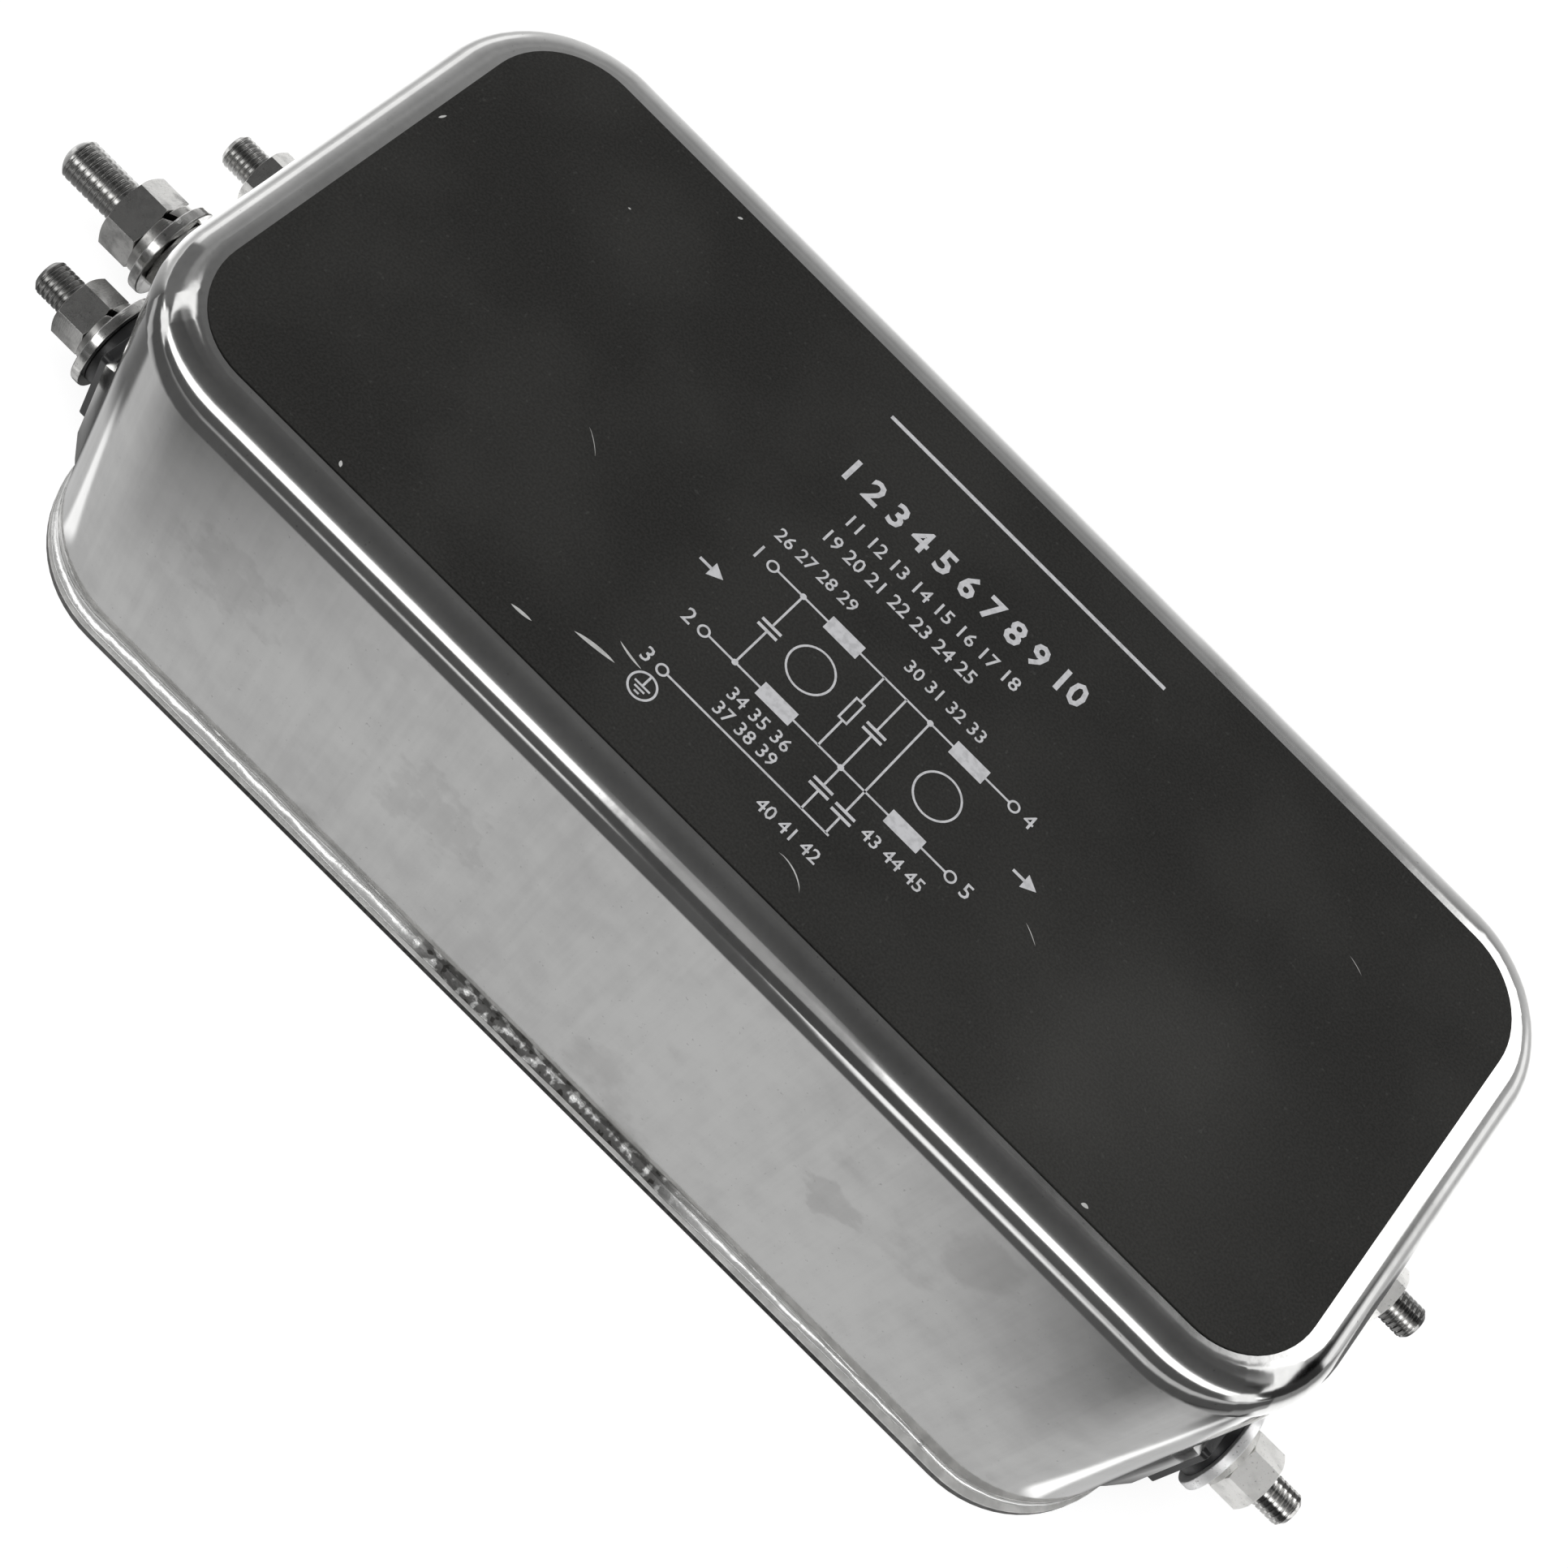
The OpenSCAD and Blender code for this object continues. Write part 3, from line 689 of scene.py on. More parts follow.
@contextmanager
def editing(mesh: bpy.types.Mesh) -> Iterator[bmesh.types.BMesh]:
    """Opens a mesh for bmesh operators, then writes it back.

    Args:
        mesh: The mesh to change.

    Yields:
        Its bmesh.
    """
    work = bmesh.new()
    work.from_mesh(mesh)
    yield work
    work.to_mesh(mesh)
    work.free()


def vertices_of(mesh: bpy.types.Mesh) -> np.ndarray:
    """The mesh's vertices, as an array of shape (n, 3)."""
    co = np.empty(len(mesh.vertices) * 3, np.float32)
    mesh.vertices.foreach_get("co", co)
    return co.reshape(-1, 3)


def unit_circle(sides: int) -> np.ndarray:
    """Points once round a circle of radius 1, as an array of shape (sides, 2)."""
    angle = np.linspace(0, 2 * math.pi, sides, endpoint=False)
    return np.stack([np.cos(angle), np.sin(angle)], 1)


def linked(name: str, mesh: bpy.types.Mesh, finish: Finish) -> bpy.types.Object:
    """Puts a finished mesh into the scene as a piece of the filter.

    Args:
        name: The piece's name.
        mesh: Its mesh, already in place.
        finish: Its finish.

    Returns:
        The object, riding on the filter's body.
    """
    piece = placed(name, mesh)
    mesh.materials.clear()
    mesh.materials.append(finish.material())
    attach(piece, BODY)
    return piece


def mesh_of(
    name: str, points: np.ndarray, faces: Sequence[Sequence[int]], smooth: bool = True
) -> bpy.types.Mesh:
    """A mesh from points and faces, with its normals turned outwards.

    Args:
        name: The mesh's name.
        points: Array of shape (n, 3).
        faces: Corner numbers of each face.
        smooth: Whether the faces are shaded smooth.

    Returns:
        The mesh.
    """
    mesh = bpy.data.meshes.new(name)
    mesh.from_pydata(points.reshape(-1, 3).tolist(), [], [list(map(int, f)) for f in faces])
    with editing(mesh) as work:
        bmesh.ops.recalc_face_normals(work, faces=work.faces)
    mesh.polygons.foreach_set("use_smooth", [smooth] * len(mesh.polygons))
    mesh.update()
    return mesh


def ring_faces(rings: int, sides: int, closed: bool) -> list[list[int]]:
    """Faces of a surface made of rings of points, each ring closed.

    Args:
        rings: Number of rings.
        sides: Points in a ring.
        closed: Whether the last ring joins the first; otherwise both ends are capped.

    Returns:
        Corner numbers of each face.
    """
    ring, side = np.meshgrid(np.arange(rings if closed else rings - 1), np.arange(sides), indexing="ij")
    ahead, beside = (ring + 1) % rings, (side + 1) % sides
    here, there = ring * sides, ahead * sides
    quads = np.stack([here + side, here + beside, there + beside, there + side], -1)
    faces = quads.reshape(-1, 4).tolist()
    if not closed:
        faces.append(list(range(sides)))
        faces.append(list(range((rings - 1) * sides, rings * sides)))
    return faces


def softened(node: str, finish: Finish, edge: float) -> bpy.types.Object:
    """A copy of a CAD node with its sharp edges slightly rounded, which stands for the node.

    The copy's doubles are merged and its flat triangles joined, so that a bevel runs along true edges
    only, and weighted normals keep flats flat beside round stretches.

    Args:
        node: The CAD node.
        finish: Its finish.
        edge: Radius of the rounded edges.

    Returns:
        The piece.
    """
    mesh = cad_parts[node].data.copy()
    with editing(mesh) as work:
        bmesh.ops.remove_doubles(work, verts=work.verts, dist=MERGE_DISTANCE)
        bmesh.ops.dissolve_limit(work, angle_limit=FLAT_ANGLE, verts=work.verts, edges=work.edges)
    mesh.polygons.foreach_set("use_smooth", [True] * len(mesh.polygons))
    piece = linked(node + "_look", mesh, finish)
    bevel = piece.modifiers.new("edges", "BEVEL")
    bevel.width = edge
    bevel.segments = 2
    bevel.limit_method = "ANGLE"
    bevel.angle_limit = SHARP_ANGLE
    bevel.harden_normals = False
    weighted = piece.modifiers.new("flats", "WEIGHTED_NORMAL")
    weighted.mode = "FACE_AREA"
    weighted.weight = 90
    weighted.keep_sharp = False
    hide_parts(node)
    return piece


def rounded_path(
    half_x: float, half_y: float, radius: float, spacing: float
) -> tuple[np.ndarray, np.ndarray]:
    """Walks once round a rounded rectangle at an even pace.

    Each corner is a quarter arc about its centre, and the straights join the arcs.

    Args:
        half_x: Half length.
        half_y: Half width.
        radius: Corner radius.
        spacing: Distance between points on a straight.

    Returns:
        Points and outward normals, both of shape (n, 2).
    """
    points, normals = [], []
    for quarter, (sx, sy) in enumerate([(1, 1), (-1, 1), (-1, -1), (1, -1)]):
        arc = np.linspace(0, math.pi / 2, max(6, int(radius * math.pi / 2 / spacing)), endpoint=False)
        angle = arc + quarter * math.pi / 2
        outward = np.stack([np.cos(angle), np.sin(angle)], 1)
        centre = np.array([sx * (half_x - radius), sy * (half_y - radius)])
        points.append(centre + radius * outward)
        normals.append(outward)
        last = np.array([math.cos((quarter + 1) * math.pi / 2), math.sin((quarter + 1) * math.pi / 2)])
        run = 2 * (half_x - radius) if quarter % 2 == 0 else 2 * (half_y - radius)
        along = np.array([-last[1], last[0]])
        steps = np.linspace(0, run, max(2, int(run / spacing)), endpoint=False)[:, None]
        points.append(centre + radius * last + steps * along)
        normals.append(np.repeat(last[None], len(steps), 0))
    return np.concatenate(points), np.concatenate(normals)


# --------------------------------------------------------------- sub-assemblies


@dataclass
class Enclosure:
    """The drawn can, its base plate, the solder between them and the press-in nuts."""

    can_edge: float = 0.35 * MM
    plate_edge: float = 0.12 * MM
    nut_edge: float = 0.15 * MM
    corner_radius: float = 18 * MM
    bead_spacing: float = 0.4 * MM
    bead_sides: int = 9
    bead_hollow: float = 1.35
    end_lean: float = 0.82
    load_lean: float = 0.6
    load_fade: tuple[float, float] = (30 * MM, 40 * MM)
    end_trim: float = 1.4 * MM

    def build(self) -> None:
        """Makes the enclosure's pieces."""
        softened("can", Finishes.can, self.can_edge)
        self.plate()
        softened("mounting_nuts", Finishes.nut, self.nut_edge)
        self.solder_bead()
        dress("base_insulation_sheet", Finishes.sheet)

    def plate(self) -> None:
        """The plate, whose ledge narrows round the corners towards both ends.

        A point at distance x from the middle moves in by the trim times its share of the way from
        the corner arcs' start to the end, so the sides keep their ledge and the ends nearly lose it.
        """
        plate = softened("base_plate", Finishes.plate, self.plate_edge)
        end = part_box("base_plate")[1].x
        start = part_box("can")[1].x - self.corner_radius
        co = vertices_of(plate.data)
        share = np.clip((np.abs(co[:, 0]) - start) / (end - start), 0, 1)
        co[:, 0] -= np.sign(co[:, 0]) * self.end_trim * share
        plate.data.vertices.foreach_set("co", co.ravel())

    def solder_bead(self) -> None:
        """The bead along the can's foot, which stands for the solder seam.

        Its section is a hollow-faced fillet from the wall down to the ledge. Both legs swell and
        shrink along the foot as sums of sines of the distance walked, are fuller towards the line
        end, thin round both ends and towards the load end, and never pass the solid's leg.
        """
        low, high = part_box("solder_seam")
        can_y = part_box("can")[1].y
        leg = high.y - can_y
        path, outward = rounded_path(high.x - leg, can_y, self.corner_radius, self.bead_spacing)
        pace = np.linalg.norm(np.roll(path, -1, 0) - path, axis=1)
        walked = np.concatenate([[0], np.cumsum(pace)[:-1]]) / pace.sum() * 2 * math.pi
        swell = np.sin(41 * walked + 1) * 0.35 + np.sin(97 * walked) * 0.25 + np.sin(17 * walked + 2) * 0.4
        creep = np.sin(37 * walked + 4) * 0.4 + np.sin(113 * walked + 1) * 0.2 + np.sin(13 * walked) * 0.4
        fuller = 0.5 - path[:, 0] / (high.x - low.x)
        start, run = self.load_fade
        thinner = 1 - self.load_lean * np.clip((path[:, 0] - start) / run, 0, 1)
        narrow = (1 - self.end_lean * outward[:, 0] ** 2) * thinner
        reach = leg * (0.84 + 0.09 * fuller + 0.06 * swell) * narrow
        climb = leg * (0.42 + 0.38 * fuller + 0.18 * creep) * (0.35 + 0.65 * narrow)
        share = np.linspace(0, 1, self.bead_sides)
        out = reach[:, None] * share[None] ** self.bead_hollow
        rise = climb[:, None] * (1 - share[None]) ** self.bead_hollow
        out = np.concatenate([out, np.zeros((len(path), 1))], 1)
        rise = np.concatenate([rise, np.zeros((len(path), 1))], 1)
        flat = path[:, None, :] + outward[:, None, :] * out[..., None]
        points = np.concatenate([flat, low.z + rise[..., None]], 2)
        faces = ring_faces(len(path), self.bead_sides + 1, closed=True)
        bead = linked("solder_bead", mesh_of("solder_bead", points, faces), Finishes.solder)
        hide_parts("solder_seam")


class Tip(Enum):
    """How a stud's free end is finished."""

    CHAMFERED = "chamfered"
    DOMED = "domed"


@dataclass
class ThreadedStud:
    """A stud along X: plain where nuts and washers cover it, threaded to its free end."""

    node: str
    nut: str
    pitch: float
    tip: Tip
    relief: float = 0.2 * MM
    crest: float = 0.5
    flank: float = 0.46
    sides: int = 64
    steps_per_pitch: int = 12

    def build(self) -> None:
        """Makes the piece that stands for the stud.

        The radius at distance s from the nut's face and angle a is the crest radius less the depth
        times a triangle wave of s / pitch - a / full turn, with flats at crest and root. The tip's
        cone or dome caps it. As far as the nut's face it is plain, at the root's radius.
        """
        low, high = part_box(self.node)
        end = 1 if high.x > -low.x else -1
        inner, tip_x = (low.x, high.x) if end > 0 else (-high.x, -low.x)
        nut_low, nut_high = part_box(self.nut)
        face = nut_high.x if end > 0 else -nut_low.x
        radius = (high.y - low.y) / 2
        count = int((tip_x - face) / self.pitch * self.steps_per_pitch)
        along = np.concatenate([[inner, face - 1e-5], np.linspace(face, tip_x, count)])
        angle = np.linspace(0, 2 * math.pi, self.sides, endpoint=False)
        s = along[:, None]
        wave = np.abs(2 * np.mod((s - face) / self.pitch - angle[None] / (2 * math.pi), 1) - 1)
        root = np.clip((wave - self.crest) / self.flank, 0, 1)
        free = s >= face
        reach = np.where(free, radius - self.relief * root, radius - self.relief)
        reach = np.minimum(reach, self.tip_radius(s, tip_x, radius))
        centre_y, centre_z = (low.y + high.y) / 2, (low.z + high.z) / 2
        out_x = np.broadcast_to(end * s, reach.shape)
        out_y = centre_y + reach * np.cos(angle)[None]
        out_z = centre_z + reach * np.sin(angle)[None]
        points = np.stack([out_x, out_y, out_z], -1)
        mesh = mesh_of(self.node, points, ring_faces(len(along), self.sides, closed=False))
        root_share = mesh.attributes.new("root", "FLOAT", "POINT")
        root_share.data.foreach_set("value", np.where(free, root, 1.0).astype(np.float32).ravel())
        piece = linked(self.node + "_thread", mesh, Finishes.thread)
        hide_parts(self.node)

    def tip_radius(self, s: np.ndarray, tip_x: float, radius: float) -> np.ndarray:
        """Largest radius that the tip allows at each distance.

        Args:
            s: Distances from the filter's middle.
            tip_x: Distance of the tip.
            radius: The stud's radius.

        Returns:
            A cone's radius, or a dome's: the height above its sphere's centre gives a circle.
        """
        if self.tip is Tip.CHAMFERED:
            return radius - radius / 4 + (tip_x - s)
        rise = radius / 2
        ball = (radius**2 + rise**2) / (2 * rise)
        beyond = np.maximum(s - tip_x + ball, 0)
        return np.sqrt(np.maximum(ball**2 - beyond**2, (radius * 0.04) ** 2))


@dataclass
class Terminals:
    """The five studs with their bushings, washers and nuts."""

    live_pitch: float = 0.8 * MM
    earth_pitch: float = 1.0 * MM
    bushing_edge: float = 0.25 * MM
    inner_bushing_edge: float = 0.2 * MM
    nut_edge: float = 0.16 * MM
    washer_edge: float = 0.2 * MM
    spring_edge: float = 0.12 * MM

    def build(self) -> None:
        """Makes both ends' hardware."""
        for name in (f"{end}_{pole}" for end in ("line", "load") for pole in ("p", "n")):
            for node, edge in (("bushing", self.bushing_edge), ("inner_bushing", self.inner_bushing_edge)):
                softened(f"{name}_{node}", Finishes.bushing, edge)
            ThreadedStud(f"{name}_stud", "terminal_nuts", self.live_pitch, Tip.CHAMFERED).build()
        ThreadedStud("earth_stud", "earth_nut", self.earth_pitch, Tip.DOMED).build()
        for node in ("terminal_nuts", "inner_nuts", "earth_spacer", "earth_nut", "earth_inner_nut"):
            softened(node, Finishes.nut, self.nut_edge)
        flat = ("terminal_flat_washers", "inner_flat_washers", "earth_flat_washer", "earth_inner_washer")
        for node in flat:
            softened(node, Finishes.washer, self.washer_edge)
        for node in ("terminal_spring_washers", "earth_spring_washer"):
            softened(node, Finishes.spring, self.spring_edge)


class PrintBed:
    """Gathers flat printed shapes and lays them on the label as one thin piece.

    Strokes stay a hair lower than other shapes, so that no two faces lie in one plane.
    """

    stroke_drop = 0.003
    digit_share = 0.7

    def __init__(self, bottom: float, top: float) -> None:
        """Starts an empty print.

        Args:
            bottom: Height of the ink's underside.
            top: Height of its upper face.
        """
        self.bottom = bottom
        self.top = top
        self.points: list[np.ndarray] = []
        self.faces: list[list[int]] = []

    def _count(self) -> int:
        """Points laid so far."""
        return sum(len(p) for p in self.points)

    def prism(self, outline: np.ndarray, drop: float = 0.0) -> None:
        """Lays a closed outline as a thin prism.

        Args:
            outline: Corners in millimetres, shape (n, 2), going round once.
            drop: How far its top stays below the other shapes' tops, in millimetres.
        """
        start, n = self._count(), len(outline)
        for height in (self.bottom, self.top - drop * MM):
            self.points.append(np.column_stack([outline * MM, np.full(n, height)]))
        here = np.arange(n)
        beside = (here + 1) % n
        self.faces += [(start + here[::-1]).tolist(), (start + n + here).tolist()]
        self.faces += (start + np.stack([here, beside, n + beside, n + here], 1)).tolist()

    def line(self, a: Sequence[float], b: Sequence[float], width: float) -> None:
        """Lays a straight stroke with square ends.

        Args:
            a: Start, in millimetres.
            b: End.
            width: Stroke width.
        """
        a, b = np.array(a, float), np.array(b, float)
        along = (b - a) / np.linalg.norm(b - a)
        side = np.array([-along[1], along[0]]) * width / 2
        self.prism(np.array([a - side, b - side, b + side, a + side]), self.stroke_drop)

    def bar(self, centre: Sequence[float], length: float, height: float) -> None:
        """Lays a filled bar of a length along X and a height along Y, in millimetres."""
        corners = np.array([[-1, -1], [1, -1], [1, 1], [-1, 1]])
        self.prism(corners * [length / 2, height / 2] + np.array(centre))

    def frame_bar(self, centre: Sequence[float], length: float, height: float, width: float) -> None:
        """Lays a hollow box as four strokes.

        Args:
            centre: Its centre, in millimetres.
            length: Outer size along X.
            height: Outer size along Y.
            width: Stroke width.
        """
        x, y = centre
        dx, dy = (length - width) / 2, (height - width) / 2
        for sign in (-1, 1):
            self.line((x - length / 2, y + sign * dy), (x + length / 2, y + sign * dy), width)
            self.line((x + sign * dx, y - height / 2 + width), (x + sign * dx, y + height / 2 - width), width)

    def ring(self, centre: Sequence[float], radius: float, width: float, sides: int = 40) -> None:
        """Lays a circle's outline: four walls carried round the centre.

        Args:
            centre: Its centre, in millimetres.
            radius: Radius at the middle of the stroke.
            width: Stroke width.
            sides: Number of steps round.
        """
        around = unit_circle(sides)
        corners = [(radius - width / 2, self.bottom), (radius + width / 2, self.bottom)]
        corners += [(radius + width / 2, self.top), (radius - width / 2, self.top)]
        rings = [np.column_stack([(around * r + centre) * MM, np.full(sides, h)]) for r, h in corners]
        start = self._count()
        self.points.append(np.stack(rings, 1).reshape(-1, 3))
        self.faces += [[start + c for c in face] for face in ring_faces(sides, 4, closed=True)]

    def disc(self, centre: Sequence[float], radius: float, sides: int = 24) -> None:
        """Lays a filled dot of a radius in millimetres."""
        self.prism(unit_circle(sides) * radius + np.array(centre))

    def numerals(self, figures: str, start: Sequence[float], height: float, weight: float = 0.008) -> None:
        """Lays plain numerals in one row, taken from Blender's own font.

        The font's solid letters are merged into closed shells, and every point goes to the ink's
        underside or top by its side of the letter's middle plane.

        Args:
            figures: Digits and spaces.
            start: Left end of the row and its middle height, in millimetres.
            height: Height of a digit.
            weight: How much the strokes are thickened, as a share of the height.
        """
        curve = bpy.data.curves.new("numerals", "FONT")
        curve.body = figures
        curve.align_x, curve.align_y = "LEFT", "CENTER"
        curve.size = height / self.digit_share
        curve.offset = weight * height
        curve.extrude = 0.1
        curve.resolution_u = 2
        sample = bpy.data.objects.new("numerals", curve)
        solid = bpy.data.meshes.new_from_object(sample)
        with editing(solid) as work:
            bmesh.ops.remove_doubles(work, verts=work.verts, dist=1e-4)
        co = vertices_of(solid).astype(float)
        flat = (co[:, :2] + np.array(start)) * MM
        corners = np.empty(len(solid.loops), np.int32)
        solid.loops.foreach_get("vertex_index", corners)
        totals = np.empty(len(solid.polygons), np.int32)
        solid.polygons.foreach_get("loop_total", totals)
        offset = self._count()
        self.points.append(np.column_stack([flat, np.where(co[:, 2] > 0, self.top, self.bottom)]))
        self.faces += [face.tolist() for face in np.split(corners + offset, np.cumsum(totals)[:-1])]
        bpy.data.objects.remove(sample)
        bpy.data.meshes.remove(solid)
        bpy.data.curves.remove(curve)

    def piece(self, name: str, finish: Finish) -> bpy.types.Object:
        """Makes the gathered shapes one piece."""
        mesh = mesh_of(name, np.concatenate(self.points), self.faces, smooth=False)
        return linked(name, mesh, finish)


@dataclass
class RatingLabel:
    """The charcoal label: film, a generic two-stage circuit, counting numbers and scratches.

    Every place is in millimetres from the label's centre, +X towards the load end.
    """

    ink: float = 0.012 * MM
    stroke: float = 0.28
    pole_p: float = -1.6
    pole_n: float = -14.9
    earth: float = -22.6
    first: float = -18.2
    last: float = 20.7
    end_ring: float = 0.7
    chokes: tuple[float, float] = (-6.7, 13.5)
    coil: tuple[float, float] = (5.2, 2.2)
    core_ring: float = 3.1
    joint: float = 0.42
    figure: float = 2.1
    figure_x: tuple[float, float] = (-21.3, 22.4)
    lead_gap: float = 0.6
    plate_gap: float = 0.45
    plate: tuple[float, float] = (3.0, 0.42)
    earth_ring: float = 1.75
    x_taps: tuple[float, float] = (-13.3, 3.4)
    bleed: float = -0.2
    bleed_y: float = -8.25
    bleed_size: tuple[float, float] = (1.5, 3.9)
    y_tap_n: float = 3.4
    y_tap_p: float = 7.2

    def build(self) -> None:
        """Makes the label's pieces."""
        self.film()
        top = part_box("rating_label")[1].z
        bed = PrintBed(top - self.ink, top)
        self.circuit(bed)
        self.counts(bed)
        bed.piece("label_print", Finishes.ink)
        marks = PrintBed(top - self.ink, top - self.ink * 0.3)
        self.scratches(marks)
        marks.piece("label_scratches", Finishes.scratch)

    def film(self) -> None:
        """The film, lower than its solid by the ink's thickness."""
        film = softened("rating_label", Finishes.film, 0.08 * MM)
        low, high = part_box("rating_label")
        co = vertices_of(film.data)
        co[co[:, 2] > (low.z + high.z) / 2, 2] -= self.ink
        film.data.vertices.foreach_set("co", co.ravel())

    def circuit(self, bed: PrintBed) -> None:
        """Two chokes in series, two capacitors across, two to earth, and a bleed resistor.

        Args:
            bed: The print.
        """
        w, p, n, e = self.stroke, self.pole_p, self.pole_n, self.earth
        for pole in (p, n):
            coils = [x + side * self.coil[0] / 2 for x in self.chokes for side in (-1, 1)]
            ends = [self.first + self.end_ring, *coils, self.last - self.end_ring]
            for start, end in zip(ends[::2], ends[1::2]):
                bed.line((start, pole), (end, pole), w)
            for x in (self.first, self.last):
                bed.ring((x, pole), self.end_ring, w, 24)
            for x in self.chokes:
                bed.bar((x, pole), *self.coil)
        for x in self.chokes:
            bed.ring((x, (p + n) / 2), self.core_ring, w)
        for x in self.x_taps:
            self.capacitor(bed, x, p, n)
        half = self.bleed_size[1] / 2
        bed.line((self.bleed, p), (self.bleed, self.bleed_y + half), w)
        bed.line((self.bleed, self.bleed_y - half), (self.bleed, n), w)
        bed.frame_bar((self.bleed, self.bleed_y), *self.bleed_size, w)
        bed.ring((self.first, e), self.end_ring, w, 24)
        bed.line((self.first + self.end_ring, e), (self.y_tap_p + 0.5, e), w)
        self.capacitor(bed, self.y_tap_n, n, e)
        self.capacitor(bed, self.y_tap_p, p, e, -19.2)
        self.earth_mark(bed, (self.first - 0.2, e - 3.4))
        for x, pole in ((self.x_taps[0], p), (self.x_taps[0], n), (self.y_tap_p, p), (self.y_tap_n, n)):
            bed.disc((x, pole), self.joint)
        left, right = self.figure_x
        corners = ((left, p), (left, n), (left, e), (right, p), (right, n))
        for number, corner in enumerate(corners, 1):
            bed.numerals(str(number), corner, self.figure)

    def capacitor(
        self, bed: PrintBed, x: float, top: float, bottom: float, middle: Optional[float] = None
    ) -> None:
        """A capacitor on an upright lead.

        Args:
            bed: The print.
            x: Its place along X.
            top: Upper end of the lead.
            bottom: Lower end.
            middle: Height of the plates, or None for halfway.
        """
        centre = (top + bottom) / 2 if middle is None else middle
        bed.line((x, top), (x, centre + self.lead_gap), self.stroke)
        bed.line((x, centre - self.lead_gap), (x, bottom), self.stroke)
        for side in (-1, 1):
            bed.bar((x, centre + side * self.plate_gap), *self.plate)

    def earth_mark(self, bed: PrintBed, centre: Sequence[float]) -> None:
        """The usual earth symbol: a stem on three shortening bars, in a ring.

        Args:
            bed: The print.
            centre: The ring's centre.
        """
        x, y = centre
        bed.ring(centre, self.earth_ring, self.stroke)
        bed.line((x, y + 1.6), (x, y), self.stroke)
        for row, width in enumerate((2.3, 1.5, 0.7)):
            bed.bar((x, y - 0.55 * row), width, 0.26)

    def counts(self, bed: PrintBed) -> None:
        """Plain counting numbers where captions would stand, one long rule, and two flow arrows.

        Args:
            bed: The print. Each row gives its figures, left end, middle height, size and weight.
        """
        bed.line((-21.6, 27.0), (24.6, 27.0), 0.55)
        rows = [
            ("1 2 3 4 5 6 7 8 9 10", -21.4, 16.6, 3.5, 0.032),
            ("11 12 13 14 15 16 17 18", -16.6, 11.1, 2.0, 0.012),
            ("19 20 21 22 23 24 25", -17.2, 7.2, 2.0, 0.012),
            ("26 27 28 29", -20.8, 2.4, 1.85, 0.01),
            ("30 31 32 33", 0.4, 2.1, 1.85, 0.01),
            ("34 35 36", -11.5, -18.2, 1.85, 0.01),
            ("37 38 39", -11.5, -20.9, 1.85, 0.01),
            ("40 41 42", -0.6, -26.0, 1.85, 0.01),
            ("43 44 45", 10.0, -18.9, 1.85, 0.01),
        ]
        for figures, x, y, height, weight in rows:
            bed.numerals(figures, (x, y), height, weight)
        for x in (-24.6, 25.4):
            bed.line((x, -8.0), (x + 2.0, -8.0), 0.4)
            bed.prism(np.array([(x + 1.8, -9.1), (x + 3.7, -8.0), (x + 1.8, -6.9)]))

    def scratches(self, bed: PrintBed) -> None:
        """Scratches as slivers: two arcs from end to end that bow apart by the width at the middle.

        Args:
            bed: The scratches' own bed. Each mark gives its ends, width and bow.
        """
        marks = [
            ((-34.7, -30.5), (-31.8, -30.2), 0.42, 0.0),
            ((-27.9, -27.2), (-22.3, -26.4), 0.56, 0.12),
            ((-23.7, -23.8), (-19.8, -24.5), 0.3, -0.15),
            ((5.0, -28.8), (9.7, -30.7), 0.18, 0.7),
            ((55.0, -33.4), (56.0, -33.2), 0.5, 0.1),
            ((-83.0, 10.3), (-82.6, 11.4), 0.3, 0.0),
            ((-58.5, -32.9), (-58.0, -33.6), 0.4, 0.0),
            ((-51.9, 32.1), (-51.3, 32.5), 0.35, 0.0),
            ((30.5, -12.0), (33.0, -13.4), 0.1, 0.1),
            ((-61.0, 21.0), (-60.6, 21.1), 0.22, 0.0),
            ((-44.0, -6.0), (-41.0, -8.4), 0.07, 0.2),
            ((62.0, 18.0), (64.5, 17.1), 0.07, 0.1),
        ]
        share = np.linspace(0, 1, 9)[:, None]
        for start, end, width, bow in marks:
            a, b = np.array(start), np.array(end)
            along = (b - a) / np.linalg.norm(b - a)
            side = np.array([-along[1], along[0]])
            hump = np.sin(math.pi * share) ** 0.7
            middle = a + (b - a) * share + side * bow * hump
            upper = middle + side * width / 2 * hump
            lower = middle - side * width / 2 * hump
            bed.prism(np.concatenate([lower, upper[-2:0:-1]]))


@dataclass
class FilterCircuit:
    """What the can holds: chokes, capacitors, the bleed resistor and copper bars."""

    ends: tuple[str, str] = ("line", "load")
    poles: tuple[str, str] = ("p", "n")

    def build(self) -> None:
        """Dresses the inner pieces."""
        for end in self.ends:
            dress(f"{end}_choke_core", Finishes.core)
            dress(f"{end}_choke_case", Finishes.case)
            dress(f"{end}_choke_case_lid", Finishes.case)
            dress(f"{end}_choke_divider", Finishes.board)
            for pole in self.poles:
                dress(f"{end}_choke_winding_{pole}", Finishes.enamel)
                dress(f"{end}_bar_{pole}", Finishes.bar)
        for pole in self.poles:
            dress(f"middle_bar_{pole}", Finishes.bar)
            dress(f"y_capacitor_{pole}", Finishes.y_coat)
        for node in ("line_x_capacitor", "middle_x_capacitor"):
            dress(node, Finishes.x_box)
        dress("bleed_resistor", Finishes.resistor)


def dress(node: str, finish: Finish) -> None:
    """Gives a CAD node its finish.

    Args:
        node: The CAD node.
        finish: Its finish.
    """
    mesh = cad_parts[node].data
    mesh.materials.clear()
    mesh.materials.append(finish.material())


# ---------------------------------------------------------------------- stage


